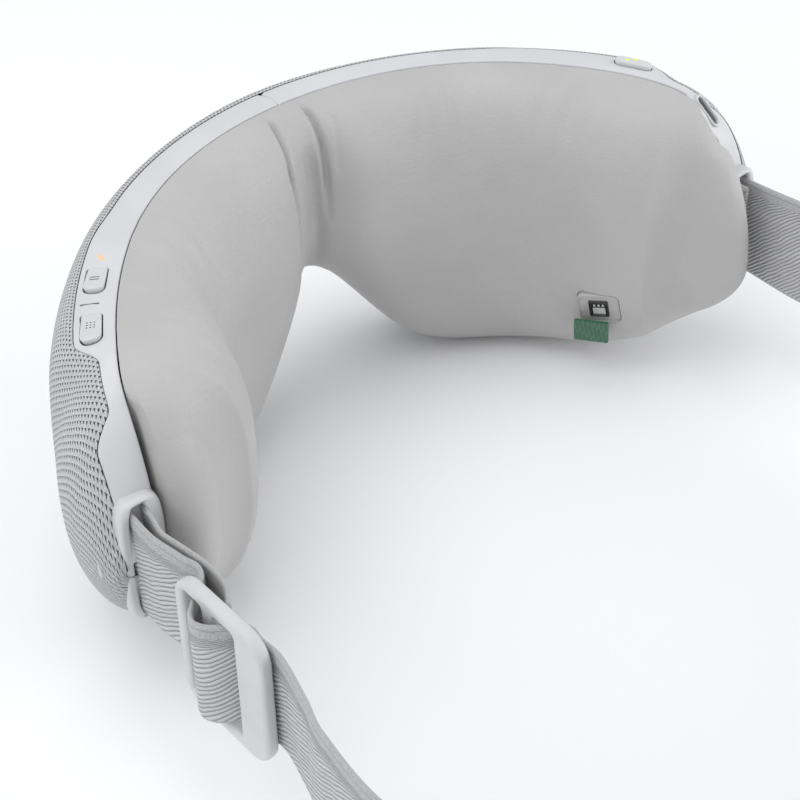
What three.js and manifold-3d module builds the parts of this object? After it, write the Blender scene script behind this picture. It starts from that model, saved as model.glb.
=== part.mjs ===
// Wrap-around eye and temple massager: two padded halves that fold at the nose bridge, with an
// elastic head strap. Millimetres. +Z is up, +Y is the way the wearer faces, +X is the wearer's
// right. The origin is at the nose bridge, where the frame meets the pads.
//
// Most pieces are described along the plan curve, which is the line, seen from above, where the
// frame meets the pads. u is the distance along it from the nose bridge, h the distance outwards
// from it (towards the world; pads have negative h) and z the height. Pieces are made for the
// right side, and the left side is their mirror image.
import * as THREE from 'three';
import { mergeVertices } from 'three/addons/utils/BufferGeometryUtils.js';
import Module from 'manifold-3d';

const wasm = await Module();
wasm.setup();

// Driving dimensions
const FRONT_RADIUS = 98;
const SIDE_RADIUS = 150;
const TEMPLE_RADIUS = 37;
const FRONT_LENGTH = 76;
const SIDE_LENGTH = 42;
const TEMPLE_LENGTH = 19;
const HALF_LENGTH = FRONT_LENGTH + SIDE_LENGTH + TEMPLE_LENGTH;
const TOP_HEIGHT = 45.5;
const TOP_FALL = 7;
const BOTTOM_DEPTH = 45;
const NOTCH_HEIGHT = 38;
const NOTCH_WIDTH = 28;
const END_HEIGHT = -5;
const FRONT_DEPTH = 15;
const TEMPLE_DEPTH = 16.5;
const WALL = 2.4;
const KNIT_THICKNESS = 1.2;
const SHELL_THICKNESS = 1.8;
const PAD_DEPTH = 23;
const PAD_LIP = 5.5;
const PAD_OVERHANG = 10;
const TEMPLE_FULLNESS = { depth: 8.5, u: 108, width: 22 };
const SENSOR = { u: 101, turn: 0.64 };
const BRIDGE_HALF = 15;
const GAP = 0.3;
const PARTING = -1;
const STRAP_WIDTH = 30;
const STRAP_Z = -1.5;
const RIGHT_LEAN = -3;
const STRAP_THICKNESS = 1.2;
const SLOT_HALF = 16.5;
const PIN = { u: 132.5, h: 4.4, radius: 1 };
const BUTTON = { half_length: 4.6, half_width: 2.5, h: 4.6, proud: 1, skirt: 4.2 };
const PAUSE_U = 90;
const PATTERN_U = 106.5;
const POWER_U = 104.5;
const SOCKET = { u: 126.5, h: 1.2 };
const LIGHT_U = 81.3;
const HINGE_Y = -0.8;
const SLIDER = { x: -109, front: -103.5, z: -2, height: 38, thickness: 3.4, corner: 6.5 };
const SLIDER_BARS = { front: 3, window: 7.4, middle: 4, rear: 9.6, window_height: 32 };

// The plan curve: three tangent arcs, then straight on. Negative u is the mirror image.
function planAt(u) {
  const side = u < 0 ? -1 : 1;
  let left = Math.abs(u);
  let x = 0;
  let y = 0;
  let heading = 0;
  for (const [radius, length] of [
    [FRONT_RADIUS, FRONT_LENGTH],
    [SIDE_RADIUS, SIDE_LENGTH],
    [TEMPLE_RADIUS, TEMPLE_LENGTH],
  ]) {
    const run = Math.min(left, length);
    const turned = heading + run / radius;
    x += radius * (Math.sin(turned) - Math.sin(heading));
    y -= radius * (Math.cos(heading) - Math.cos(turned));
    heading = turned;
    left -= run;
  }
  x += left * Math.cos(heading);
  y -= left * Math.sin(heading);
  return { x: side * x, y, heading: side * heading };
}

function place(u, h, z) {
  const p = planAt(u);
  return new THREE.Vector3(p.x + h * Math.sin(p.heading), p.y + h * Math.cos(p.heading), z);
}

// Upper and lower edge of the casing's outline, pulled in by inset all round.
function topEdge(u, inset = 0) {
  const s = Math.min(Math.abs(u) / (HALF_LENGTH - inset), 1);
  const full = TOP_HEIGHT - TOP_FALL * s ** 3 - inset - END_HEIGHT;
  return END_HEIGHT + full * Math.sqrt(1 - s ** 18);
}

function bottomEdge(u, inset = 0) {
  const s = Math.min(Math.abs(u) / (HALF_LENGTH - inset), 1);
  const notch = NOTCH_HEIGHT * Math.exp(-((u / NOTCH_WIDTH) ** 2));
  const full = BOTTOM_DEPTH - notch - inset + END_HEIGHT;
  return END_HEIGHT - full * Math.sqrt(1 - s ** 3.4);
}

// How far the casing stands out from the plan curve.
function casingDepth(u) {
  return THREE.MathUtils.lerp(FRONT_DEPTH, TEMPLE_DEPTH, THREE.MathUtils.smoothstep(Math.abs(u), 40, 110));
}

function middle(u, inset = 0) {
  return (topEdge(u, inset) + bottomEdge(u, inset)) / 2;
}

// The casing's upper side is nearly flat at the front and round at the temples.
function crownPower(u) {
  return 4 - 2 * THREE.MathUtils.smoothstep(Math.abs(u), 104, 118);
}

// Height of the casing's upper surface at a place on it.
function casingTop(u, h) {
  const z = middle(u);
  const power = crownPower(u);
  return z + (topEdge(u) - z) * (1 - (h / casingDepth(u)) ** power) ** (1 / power);
}

// Where the frame band ends and the knitted cover starts.
function bandWidth(u) {
  const step = (from, to) => THREE.MathUtils.smoothstep(Math.abs(u), from, to);
  return 7.5 + 1.5 * step(60, 75) - 5.5 * step(109.5, 116.5) + 6.5 * step(123, 127);
}

function signedPower(value, power) {
  return Math.sign(value) * Math.abs(value) ** power;
}

// The casing's section: flat towards the pad, domed outwards, softer below than above.
function casingRing(u, inset, base, count = 9) {
  const high = topEdge(u, inset);
  const low = bottomEdge(u, inset);
  const mid = (high + low) / 2;
  const below = 3.2 - 1.1 * Math.min(Math.abs(u) / HALF_LENGTH, 1);
  const ring = [[base, high]];
  for (let i = 0; i <= count; i += 1) {
    const turn = (Math.PI * i) / count;
    const power = 2 / (turn < Math.PI / 2 ? crownPower(u) : below);
    const depth = (casingDepth(u) - inset) * signedPower(Math.sin(turn), power);
    ring.push([depth, mid + (high - mid) * signedPower(Math.cos(turn), power)]);
  }
  ring.push([base, low]);
  return ring;
}

function boxRing(h0, h1, z0, z1) {
  return [[h0, z1], [h1, z1], [h1, z0], [h0, z0]];
}

// A box ring whose corners are rounded: a higher power is squarer.
function roundedRing(h0, h1, z0, z1, power, count = 20) {
  return Array.from({ length: count }, (_, i) => {
    const turn = (2 * Math.PI * i) / count;
    const h = (h0 + h1) / 2 + ((h1 - h0) / 2) * signedPower(Math.sin(turn), 2 / power);
    const z = (z0 + z1) / 2 + ((z1 - z0) / 2) * signedPower(Math.cos(turn), 2 / power);
    return [h, z];
  });
}

// Closed body through one ring of [h, z, extra u] points for each station along the plan curve.
function loft(stations, ringAt) {
  const positions = [];
  const index = [];
  const rings = stations.map(ringAt);
  const count = rings[0].length;
  stations.forEach((u, k) => {
    for (const [h, z, ahead = 0] of rings[k]) positions.push(...place(u + ahead, h, z).toArray());
  });
  for (let k = 0; k < stations.length - 1; k += 1) {
    for (let i = 0; i < count; i += 1) {
      const a = k * count + i;
      const b = k * count + ((i + 1) % count);
      index.push(a, b, a + count, b, b + count, a + count);
    }
  }
  for (const k of [0, stations.length - 1]) {
    const centre = [0, 1, 2].map((axis) => rings[k].reduce((sum, p) => sum + (p[axis] ?? 0), 0) / count);
    const hub = positions.length / 3;
    positions.push(...place(stations[k] + centre[2], centre[0], centre[1]).toArray());
    for (let i = 0; i < count; i += 1) {
      const a = k * count + i;
      const b = k * count + ((i + 1) % count);
      index.push(...(k === 0 ? [b, a, hub] : [a, b, hub]));
    }
  }
  const geometry = new THREE.BufferGeometry();
  geometry.setAttribute('position', new THREE.Float32BufferAttribute(positions, 3));
  geometry.setIndex(index);
  return solid(geometry);
}

// A closed geometry as a solid, with its faces turned outwards.
function solid(geometry) {
  const bare = geometry.clone();
  bare.deleteAttribute('normal');
  bare.deleteAttribute('uv');
  const merged = mergeVertices(bare, 1e-4);
  const vertProperties = new Float32Array(merged.attributes.position.array);
  const triVerts = new Uint32Array(merged.index.array);
  if (volume(vertProperties, triVerts) < 0) {
    for (let i = 0; i < triVerts.length; i += 3) {
      [triVerts[i + 1], triVerts[i + 2]] = [triVerts[i + 2], triVerts[i + 1]];
    }
  }
  return new wasm.Manifold(new wasm.Mesh({ numProp: 3, vertProperties, triVerts }));
}

function volume(points, triangles) {
  const corner = (i) => new THREE.Vector3().fromArray(points, 3 * triangles[i]);
  let sum = 0;
  for (let i = 0; i < triangles.length; i += 3) {
    sum += corner(i).dot(corner(i + 1).cross(corner(i + 2))) / 6;
  }
  return sum;
}

function toGeometry(body) {
  const { vertProperties, triVerts, numProp } = body.getMesh();
  const geometry = new THREE.BufferGeometry();
  const positions = new Float32Array((vertProperties.length / numProp) * 3);
  for (let i = 0; i < positions.length / 3; i += 1) {
    for (let k = 0; k < 3; k += 1) positions[3 * i + k] = vertProperties[numProp * i + k];
  }
  geometry.setAttribute('position', new THREE.BufferAttribute(positions, 3));
  geometry.setIndex(new THREE.BufferAttribute(new Uint32Array(triVerts), 1));
  geometry.computeVertexNormals();
  return geometry;
}

// Mirror image across the nose bridge.
function mirrored(body) {
  const geometry = toGeometry(body);
  geometry.applyMatrix4(new THREE.Matrix4().makeScale(-1, 1, 1));
  return solid(geometry);
}

function stationsBetween(from, to, step = 6) {
  const count = Math.max(1, Math.round((to - from) / step));
  return Array.from({ length: count + 1 }, (_, i) => from + ((to - from) * i) / count);
}

// Stations for a piece that runs round the temple: closer together where the outline turns.
function roundTo(from, end, step = 8) {
  const near = end - 21;
  const rounding = [];
  for (let i = 1; i <= 6; i += 1) rounding.push(near + (end - 0.15 - near) * Math.sin((Math.PI * i) / 12));
  return [...stationsBetween(from, near, step), ...rounding];
}

function uprightCylinder(u, h, radius, z0, z1, sides = 20) {
  const at = place(u, h, (z0 + z1) / 2);
  return solid(
    new THREE.CylinderGeometry(radius, radius, z1 - z0, sides)
      .rotateX(Math.PI / 2)
      .translate(at.x, at.y, at.z),
  );
}

// A cylinder pointing outwards from the plan curve.
function outwardCylinder(u, z, radius, h0, h1, sides = 16) {
  const at = place(u, (h0 + h1) / 2, z);
  return solid(
    new THREE.CylinderGeometry(radius, radius, h1 - h0, sides)
      .rotateZ(-planAt(u).heading)
      .translate(at.x, at.y, at.z),
  );
}

function tangentBox(u, h, z, length, depth, height) {
  const at = place(u, h, z);
  return solid(
    new THREE.BoxGeometry(length, depth, height)
      .rotateZ(-planAt(u).heading)
      .translate(at.x, at.y, at.z),
  );
}

function roundedRectangle(width, height, radius) {
  const x = width / 2;
  const y = height / 2;
  const shape = new THREE.Shape();
  shape.moveTo(-x + radius, -y);
  shape.lineTo(x - radius, -y);
  shape.absarc(x - radius, -y + radius, radius, -Math.PI / 2, 0);
  shape.lineTo(x, y - radius);
  shape.absarc(x - radius, y - radius, radius, 0, Math.PI / 2);
  shape.lineTo(-x + radius, y);
  shape.absarc(-x + radius, y - radius, radius, Math.PI / 2, Math.PI);
  shape.lineTo(-x, -y + radius);
  shape.absarc(-x + radius, -y + radius, radius, Math.PI, 1.5 * Math.PI);
  return shape;
}

// A plate standing on a surface: its depth runs from low to high along the outward direction.
function plateOn(surface, shape, low, high) {
  return solid(
    new THREE.ExtrudeGeometry(shape, { depth: high - low, bevelEnabled: false, curveSegments: 3 })
      .translate(0, 0, low)
      .applyMatrix4(surface),
  );
}

// Casing: frame, shell, tray, knit
const BAND_STATIONS = [
  ...stationsBetween(0, 60, 7.5), 66, 72, 80, 88, 96, 104,
  111, 112.5, 114, 115.5, 117, 120, 123, 124.3, 125.6, 127, 131, 135, 139, 143,
];

function bandCutter(extra, from) {
  return loft([from, ...BAND_STATIONS.filter((u) => u > from + 0.5)], (u) =>
    boxRing(bandWidth(u) + extra, 40, -80, 80),
  );
}

function casing(inset, base, from) {
  const shrink = (HALF_LENGTH - inset) / HALF_LENGTH;
  const stations = roundTo(0, HALF_LENGTH).slice(1).map((u) => u * shrink);
  return loft([from, ...stations], (u) => casingRing(u, inset, base));
}

function slotBlock() {
  const ring = (half) => roundedRing(PARTING, 8.6, STRAP_Z - half, STRAP_Z + half, 8);
  const halves = new Map([[127.2, 16.5], [129, 18.9], [136.2, 18.9], [137.2, 18.5], [137.8, 17.8]]);
  return loft([...halves.keys()], (u) => ring(halves.get(u)));
}

function slotHollow() {
  return loft([129.2, 133, 140], () => boxRing(1.5, 7.3, STRAP_Z - SLOT_HALF, STRAP_Z + SLOT_HALF));
}

function buttonHole(u) {
  const { half_length: length, half_width: width, h } = BUTTON;
  const run = length + GAP;
  return loft([u - run, u, u + run], (at) =>
    boxRing(h - width - GAP, h + width + GAP, topEdge(at) - 7, topEdge(at) + 5),
  );
}

function frameHalf() {
  const wall = casing(0, PARTING, 0.15).subtract(casing(WALL, PARTING - 3, -2));
  const pinReach = SLOT_HALF + 1.9;
  const pinHole = uprightCylinder(PIN.u, PIN.h, PIN.radius + GAP, STRAP_Z - pinReach, STRAP_Z + pinReach);
  return wall
    .subtract(bandCutter(0, -2))
    .add(slotBlock())
    .subtract(slotHollow())
    .subtract(pinHole);
}

function shellHalf() {
  const outside = KNIT_THICKNESS + 2 * GAP;
  const dome = casing(outside, -1, 0.15).subtract(casing(outside + SHELL_THICKNESS, -3, -2));
  let shell = dome.intersect(bandCutter(GAP, -2));
  for (const [u, z] of SCREWS) {
    const boss = outwardCylinder(u, z, 3, 2.2, FRONT_DEPTH).intersect(casing(outside + 0.4, -3, -2));
    shell = shell.add(boss).subtract(outwardCylinder(u, z, 1.4, 1, 8.5));
  }
  return shell;
}

function knitHalf(from) {
  const skin = casing(0, -1, from).subtract(casing(KNIT_THICKNESS, -3, from - 2));
  return skin.intersect(bandCutter(GAP, from - 2));
}

function knitBridge() {
  const ring = (u, inset) => casingRing(u, inset, 0);
  const span = stationsBetween(-5.7, 5.7, 3.8);
  const skin = loft(span, (u) => ring(u, 0)).subtract(
    loft(stationsBetween(-7, 7, 3.5), (u) => casingRing(u, KNIT_THICKNESS, -3)),
  );
  return skin.intersect(loft(stationsBetween(-7, 7, 3.5), (u) => boxRing(bandWidth(u) + GAP, 40, -80, 80)));
}

const SCREWS = [[13, 36.5], [118, -4]];

function trayHalf() {
  const inset = WALL + 1;
  let tray = loft([...stationsBetween(4.5, 110, 7.5), 114, 118, 121, 124], (u) =>
    boxRing(0, 1.8, bottomEdge(u, inset), topEdge(u, inset)),
  );
  for (const [u, z] of SCREWS) tray = tray.subtract(outwardCylinder(u, z, 1.5, -2, 4));
  return tray;
}

function heaterHalf() {
  const inset = 12;
  return loft(stationsBetween(18, 108, 7), (u) =>
    boxRing(-0.95, -0.35, bottomEdge(u, inset), topEdge(u, inset)),
  );
}

function screw([u, z]) {
  const shank = outwardCylinder(u, z, 1.1, -0.4, 7.5);
  return shank.add(outwardCylinder(u, z, 2.4, -1, -0.3));
}

// Pads: the back follows the frame's outline, and the face bulges down and past the temple end.
function padDepth(u) {
  const s = Math.min(Math.abs(u) / HALF_LENGTH, 1);
  const valley = 8 * Math.exp(-((u / 11) ** 2));
  const off = (Math.abs(u) - TEMPLE_FULLNESS.u) / TEMPLE_FULLNESS.width;
  const fullness = TEMPLE_FULLNESS.depth * Math.exp(-(off ** 2));
  return (PAD_DEPTH + fullness) * (1 - 0.35 * s ** 16) - valley;
}

// The pad's lower edge stays low for longer than the casing's before it rises to the temple.
function padBottom(u) {
  const s = Math.min(Math.abs(u) / (HALF_LENGTH - 0.4), 1);
  const notch = NOTCH_HEIGHT * Math.exp(-((u / NOTCH_WIDTH) ** 2));
  return END_HEIGHT - (BOTTOM_DEPTH - 0.4 - notch + END_HEIGHT) * Math.sqrt(1 - s ** 6);
}

// A point of the pad's cross-section; turn runs from 0 at the top edge to 1 at the bottom edge.
function padPoint(u, turn) {
  const s = Math.min(Math.abs(u) / HALF_LENGTH, 1);
  const high = topEdge(u, 0.4);
  const low = padBottom(u);
  const mid = (high + low) / 2;
  const back = PARTING - GAP;
  const lip = PAD_LIP * THREE.MathUtils.smoothstep(Math.abs(u), 4, 40);
  const sine = Math.sin(Math.PI * turn);
  const cosine = Math.cos(Math.PI * turn);
  const depth = signedPower(sine, 2 / 2.7);
  const rise = signedPower(cosine, 2 / 2.7);
  const sag = turn > 0.5 ? lip * sine ** 0.8 * Math.abs(cosine) ** 0.6 : 0;
  const ahead = Math.sign(u) * PAD_OVERHANG * s ** 7 * depth ** 0.5;
  return [back - (padDepth(u) + back) * depth, mid + (high - mid) * rise - sag, ahead];
}

function padRing(u, count = 12) {
  return Array.from({ length: count + 1 }, (_, i) => padPoint(u, i / count));
}

function padHalf() {
  return loft(roundTo(BRIDGE_HALF, HALF_LENGTH - 0.4), (u) => padRing(u));
}

function padBridge() {
  const reach = BRIDGE_HALF - GAP;
  const soft = loft(stationsBetween(-reach, reach, 4.9), (u) => padRing(u));
  const room = solid(new THREE.BoxGeometry(6.4, 6, 30).translate(0, HINGE_Y, 19));
  return soft.subtract(room);
}

// Fold hinge behind the pads: two leaves with knuckles on one upright pin.
const KNUCKLES = { radius: 2.2, hole: 1.3, pin: 1, low: 5, height: 6.7, count: 4 };

function hingeLeaf(first) {
  let leaf = solid(new THREE.BoxGeometry(8, 1.2, 28).translate(7, 2.9, 19));
  for (let i = first; i < KNUCKLES.count; i += 2) {
    const z = KNUCKLES.low + 0.7 + i * (KNUCKLES.height + GAP) + KNUCKLES.height / 2;
    const barrel = solid(
      new THREE.CylinderGeometry(KNUCKLES.radius, KNUCKLES.radius, KNUCKLES.height, 20)
        .rotateX(Math.PI / 2)
        .translate(0, HINGE_Y, z),
    );
    const arm = solid(new THREE.BoxGeometry(2.1, 4.4, KNUCKLES.height).translate(3.05, 1.3, z));
    const web = solid(new THREE.BoxGeometry(3, 1.6, KNUCKLES.height).translate(1.6, HINGE_Y + 0.9, z));
    leaf = leaf.add(barrel).add(arm).add(web);
  }
  const bore = new THREE.CylinderGeometry(KNUCKLES.hole, KNUCKLES.hole, 40, 20);
  return leaf.subtract(solid(bore.rotateX(Math.PI / 2).translate(0, HINGE_Y, 19)));
}

function hingePin() {
  return solid(
    new THREE.CylinderGeometry(KNUCKLES.pin, KNUCKLES.pin, 28.5, 16)
      .rotateX(Math.PI / 2)
      .translate(0, HINGE_Y, 19.6),
  );
}

// Buttons stand in holes of the band and press straight down on switches.
function button(u) {
  const { half_length: length, half_width: width, h, proud, skirt } = BUTTON;
  return loft([u - length, u - length + 0.8, u, u + length - 0.8, u + length], (at) => {
    const dip = Math.abs(at - u) > length - 0.1 ? 0.5 : 0;
    const top = casingTop(at, h) + proud - dip;
    const edge = top - 0.5;
    return [
      [h - width, edge], [h - width + 0.6, top], [h + width - 0.6, top], [h + width, edge],
      [h + width, topEdge(u) - skirt], [h - width, topEdge(u) - skirt],
    ];
  });
}

function buttonBoard(from, to, buttons) {
  const low = Math.min(topEdge(from), topEdge(to)) - 7.6;
  let board = loft(stationsBetween(from, to, 6), () => boxRing(2.9, 6.6, low, low + 1));
  for (const u of buttons) {
    const height = topEdge(u) - BUTTON.skirt - 1 - low;
    board = board.add(tangentBox(u, 4.7, low + height / 2, 3.4, 3, height));
  }
  return board;
}

// A surface frame for the charging socket, on the slope of the outline above the temple.
function socketSurface() {
  const u = SOCKET.u;
  const slope = (topEdge(u + 0.5) - topEdge(u - 0.5)) / 1;
  const heading = planAt(u).heading;
  const level = new THREE.Vector3(Math.cos(heading), -Math.sin(heading), 0);
  const along = level.clone().add(new THREE.Vector3(0, 0, slope)).normalize();
  const outward = new THREE.Vector3(Math.sin(heading), Math.cos(heading), 0);
  const up = new THREE.Vector3().crossVectors(outward, along).negate().normalize();
  if (up.z < 0) up.negate();
  const across = new THREE.Vector3().crossVectors(up, along);
  const at = place(u, SOCKET.h, casingTop(u, SOCKET.h));
  return new THREE.Matrix4().makeBasis(along, across, up).setPosition(at);
}

function socketBoss() {
  return plateOn(socketSurface(), roundedRectangle(15, 7.6, 3.7), -5.5, 0.6);
}

function socketRecess(depth) {
  return plateOn(socketSurface(), roundedRectangle(9.6, 4, 1.95), depth, 3);
}

function chargeSocket() {
  const surface = socketSurface();
  const outside = plateOn(surface, roundedRectangle(9, 3.4, 1.65), -5.2, -0.6);
  return outside.subtract(plateOn(surface, roundedRectangle(8.2, 2.6, 1.25), -4.4, 1));
}

function socketTongue() {
  return plateOn(socketSurface(), roundedRectangle(6.4, 0.9, 0.3), -4.1, -1.2);
}

// A surface frame for the pulse sensor, low on the face of the pad.
function sensorSurface() {
  const heading = planAt(SENSOR.u).heading;
  const along = new THREE.Vector3(Math.cos(heading), -Math.sin(heading), 0);
  const at = place(SENSOR.u, ...padPoint(SENSOR.u, SENSOR.turn).slice(0, 2));
  const below = place(SENSOR.u, ...padPoint(SENSOR.u, SENSOR.turn + 0.02).slice(0, 2));
  const above = place(SENSOR.u, ...padPoint(SENSOR.u, SENSOR.turn - 0.02).slice(0, 2));
  const up = above.sub(below).normalize();
  const face = new THREE.Vector3().crossVectors(along, up).negate().normalize();
  const across = new THREE.Vector3().crossVectors(face, along);
  return new THREE.Matrix4().makeBasis(along, across, face).setPosition(at);
}

function sensorRim() {
  const surface = sensorSurface();
  const body = plateOn(surface, roundedRectangle(12, 10.4, 2), -2.6, 0.5);
  return body.subtract(plateOn(surface, roundedRectangle(6.8, 6.2, 0.6), -1.2, 2));
}

function sensorWindow() {
  return plateOn(sensorSurface(), roundedRectangle(6.2, 5.6, 0.4), -0.9, 0.35);
}

function sensorBoard() {
  return plateOn(sensorSurface(), roundedRectangle(10, 8.6, 0.6), -3.8, -2.9);
}

// Vibration motor: an upright can with its shaft, and a half-round weight round the shaft.
const MOTOR = { radius: 3.7, length: 13, shaft: 0.9, h: 6.9 };

function motor(u, z) {
  const can = uprightCylinder(u, MOTOR.h, MOTOR.radius, z, z + MOTOR.length);
  return can.add(uprightCylinder(u, MOTOR.h, MOTOR.shaft, z - 6.4, z + 1, 12));
}

function motorWeight(u, z) {
  const disc = uprightCylinder(u, MOTOR.h, MOTOR.radius - 0.4, z - 5.6, z - 0.6, 24);
  const away = tangentBox(u, MOTOR.h + 1.2 + MOTOR.radius / 2, z - 3, 12, MOTOR.radius, 8);
  return disc.subtract(away).subtract(uprightCylinder(u, MOTOR.h, MOTOR.shaft + GAP, z - 8, z + 1, 12));
}

// Elastic strap: an upright ribbon along a line seen from above.
function ribbon(points, lean = 0) {
  const steps = 3 * (points.length - 1);
  const curve = new THREE.SplineCurve(points.map(([x, y]) => new THREE.Vector2(x, y)));
  const positions = [];
  const index = [];
  const top = STRAP_Z + STRAP_WIDTH / 2;
  const bottom = STRAP_Z - STRAP_WIDTH / 2;
  for (let i = 0; i <= steps; i += 1) {
    const at = curve.getPoint(i / steps);
    const along = curve.getTangent(i / steps);
    const across = new THREE.Vector2(-along.y, along.x).multiplyScalar(STRAP_THICKNESS / 2);
    const started = THREE.MathUtils.smoothstep(-at.y, 80, 105);
    const swing = lean * started * THREE.MathUtils.smoothstep(at.y, -220, -150);
    for (const [side, z, shift] of [[1, top, 0], [-1, top, 0], [-1, bottom, swing], [1, bottom, swing]]) {
      positions.push(at.x + side * across.x + shift, at.y + side * across.y, z);
    }
  }
  for (let i = 0; i < steps; i += 1) {
    for (let k = 0; k < 4; k += 1) {
      const a = 4 * i + k;
      const b = 4 * i + ((k + 1) % 4);
      index.push(a, b, a + 4, b, b + 4, a + 4);
    }
  }
  const last = 4 * steps;
  index.push(0, 2, 1, 0, 3, 2, last, last + 1, last + 2, last, last + 2, last + 3);
  const geometry = new THREE.BufferGeometry();
  geometry.setAttribute('position', new THREE.Float32BufferAttribute(positions, 3));
  geometry.setIndex(index);
  return solid(geometry);
}

// Half turn of the strap round the pin in the temple end, from the inner to the outer side.
function turnRoundPin(side) {
  const pin = place(side * PIN.u, PIN.h, 0);
  const radius = PIN.radius + GAP + STRAP_THICKNESS / 2;
  const around = [0, 0.25, 0.5, 0.75, 1].map((part) => {
    const angle = Math.PI * part;
    return [pin.x - side * radius * Math.cos(angle), pin.y + radius * Math.sin(angle)];
  });
  const before = [pin.x - side * radius, pin.y - 1.5];
  const after = [pin.x + side * radius, pin.y - 1.5];
  return [before, ...around, after];
}

const BACK_OF_HEAD = [[112.5, -158], [114.5, -180], [109, -210], [82, -236], [42, -248], [0.15, -251]];

function strapLeft() {
  const inside = SLIDER.x + 2.8;
  const outside = SLIDER.x - 4;
  return ribbon([
    [-105.2, -117.5], [-103.6, -111], [-102.6, -100], [-102.2, -89], [-101.4, -81],
    ...turnRoundPin(-1),
    [-105.1, -80], [-106.5, -89], [inside, -99], [inside, -106.2], [outside, -113.4], [outside, -118.6],
    [inside, -124.4], [inside, -130], [inside, -136.5], [-109.4, -148],
    ...BACK_OF_HEAD.map(([x, y]) => [-x, y]),
  ]);
}

function strapRight() {
  return ribbon([
    [101.3, -83.5], [101.2, -81], [101.2, -79.5],
    ...turnRoundPin(1),
    [105, -80], [105.4, -88], [107, -104], [109, -130],
    ...BACK_OF_HEAD,
  ], RIGHT_LEAN);
}

function slider() {
  const { front, window, middle: centre, rear, window_height: opening } = SLIDER_BARS;
  const { x, front: start, z, height, thickness, corner } = SLIDER;
  const length = front + window + centre + window + rear;
  const outline = roundedRectangle(length, height, corner);
  const surface = new THREE.Matrix4()
    .makeBasis(new THREE.Vector3(0, -1, 0), new THREE.Vector3(0, 0, 1), new THREE.Vector3(-1, 0, 0))
    .setPosition(x, start - length / 2, z);
  let plate = plateOn(surface, outline, -thickness / 2, thickness / 2);
  for (const from of [front, front + window + centre]) {
    const hole = new THREE.BoxGeometry(2 * thickness, window, opening);
    plate = plate.subtract(solid(hole.translate(x, start - from - window / 2, z)));
  }
  return plate;
}

function bridgeCable() {
  return loft(stationsBetween(-44, 44, 5.5), () => boxRing(4.4, 4.8, -2, 6));
}

function battery() {
  return plateOn(outwardSurface(68, 6.2, -1), roundedRectangle(36, 24, 2), -2.4, 2.4);
}

function outwardSurface(u, h, z) {
  const heading = planAt(u).heading;
  const along = new THREE.Vector3(Math.cos(heading), -Math.sin(heading), 0);
  const outward = new THREE.Vector3(Math.sin(heading), Math.cos(heading), 0);
  const across = new THREE.Vector3().crossVectors(outward, along);
  return new THREE.Matrix4().makeBasis(along, across, outward).setPosition(place(u, h, z));
}

function mainBoard() {
  const surface = outwardSurface(-68, 5, -1);
  const chip = (x, y, width, height, depth) => {
    const shape = roundedRectangle(width, height, 0.4);
    const at = surface.clone().multiply(new THREE.Matrix4().makeTranslation(x, y, 0));
    return plateOn(at, shape, 0, depth);
  };
  return plateOn(surface, roundedRectangle(38, 27, 1.5), -0.6, 0.6)
    .add(chip(-8, 2, 8, 8, 1.6))
    .add(chip(6, -4, 6, 5, 1.8))
    .add(chip(13, 6, 5, 9, 3));
}

// Materials
function material(color, roughness, metalness = 0) {
  return new THREE.MeshStandardMaterial({ color, roughness, metalness });
}

const SATIN = material(0xdedddc, 0.42);
const KNIT = material(0xc9c9c9, 0.9);
const LEATHER = material(0xcbc8c6, 0.55);
const WEBBING = material(0xcfcfcf, 0.85);
const INNER = material(0xe6e6e6, 0.6);
const STEEL = material(0xb8bbbf, 0.3, 1);
const BOARD = material(0x1f5b3a, 0.5);
const FOIL = material(0xb5651d, 0.5);
const CELL = material(0x8c9298, 0.45);
const DARK = material(0x2b2b2c, 0.35);
const ORANGE = material(0xff9a4d, 0.3);
const GREEN = material(0xcfe64a, 0.3);

const group = new THREE.Group();

function add(name, body, look) {
  const mesh = new THREE.Mesh(toGeometry(body), look);
  mesh.name = name;
  group.add(mesh);
}

const frame = frameHalf();
const leftHoles = [buttonHole(PAUSE_U), buttonHole(PATTERN_U)];
const lightHole = uprightCylinder(LIGHT_U, BUTTON.h, 1.2, 30, 60, 12);
add('left_frame', mirrored(frame.subtract(leftHoles[0]).subtract(leftHoles[1]).subtract(lightHole)), SATIN);
add(
  'right_frame',
  frame
    .subtract(buttonHole(POWER_U))
    .add(socketBoss())
    .subtract(socketRecess(-5.4))
    .subtract(casing(WALL, PARTING - 3, -2).intersect(bandCutter(-30, -2)).subtract(socketBoss())),
  SATIN,
);

const socketRoom = plateOn(socketSurface(), roundedRectangle(15.6, 8.2, 4), -7, 3);
const shell = shellHalf();
add('left_shell', mirrored(shell), INNER);
add('right_shell', shell.subtract(socketRoom), INNER);
const knit = knitHalf(6);
add('left_knit', mirrored(knit), KNIT);
add('right_knit', knit.subtract(socketRoom), KNIT);
add('knit_bridge', knitBridge(), KNIT);

const tray = trayHalf();
add('left_tray', mirrored(tray), INNER);
add('right_tray', tray.subtract(socketRoom), INNER);
const heater = heaterHalf();
add('left_heater', mirrored(heater), FOIL);
add('right_heater', heater, FOIL);
SCREWS.forEach((spot, i) => {
  add(`left_screw_${i + 1}`, mirrored(screw(spot)), STEEL);
  add(`right_screw_${i + 1}`, screw(spot), STEEL);
});

const pad = padHalf();
const sensorRoom = plateOn(sensorSurface(), roundedRectangle(12.6, 11, 2.2), -4.2, 6);
add('left_pad', mirrored(pad), LEATHER);
add('right_pad', pad.subtract(sensorRoom).subtract(socketRoom), LEATHER);
add('pad_bridge', padBridge(), LEATHER);
add('sensor_rim', sensorRim(), SATIN);
add('sensor_window', sensorWindow(), DARK);
add('sensor_board', sensorBoard(), BOARD);

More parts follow.
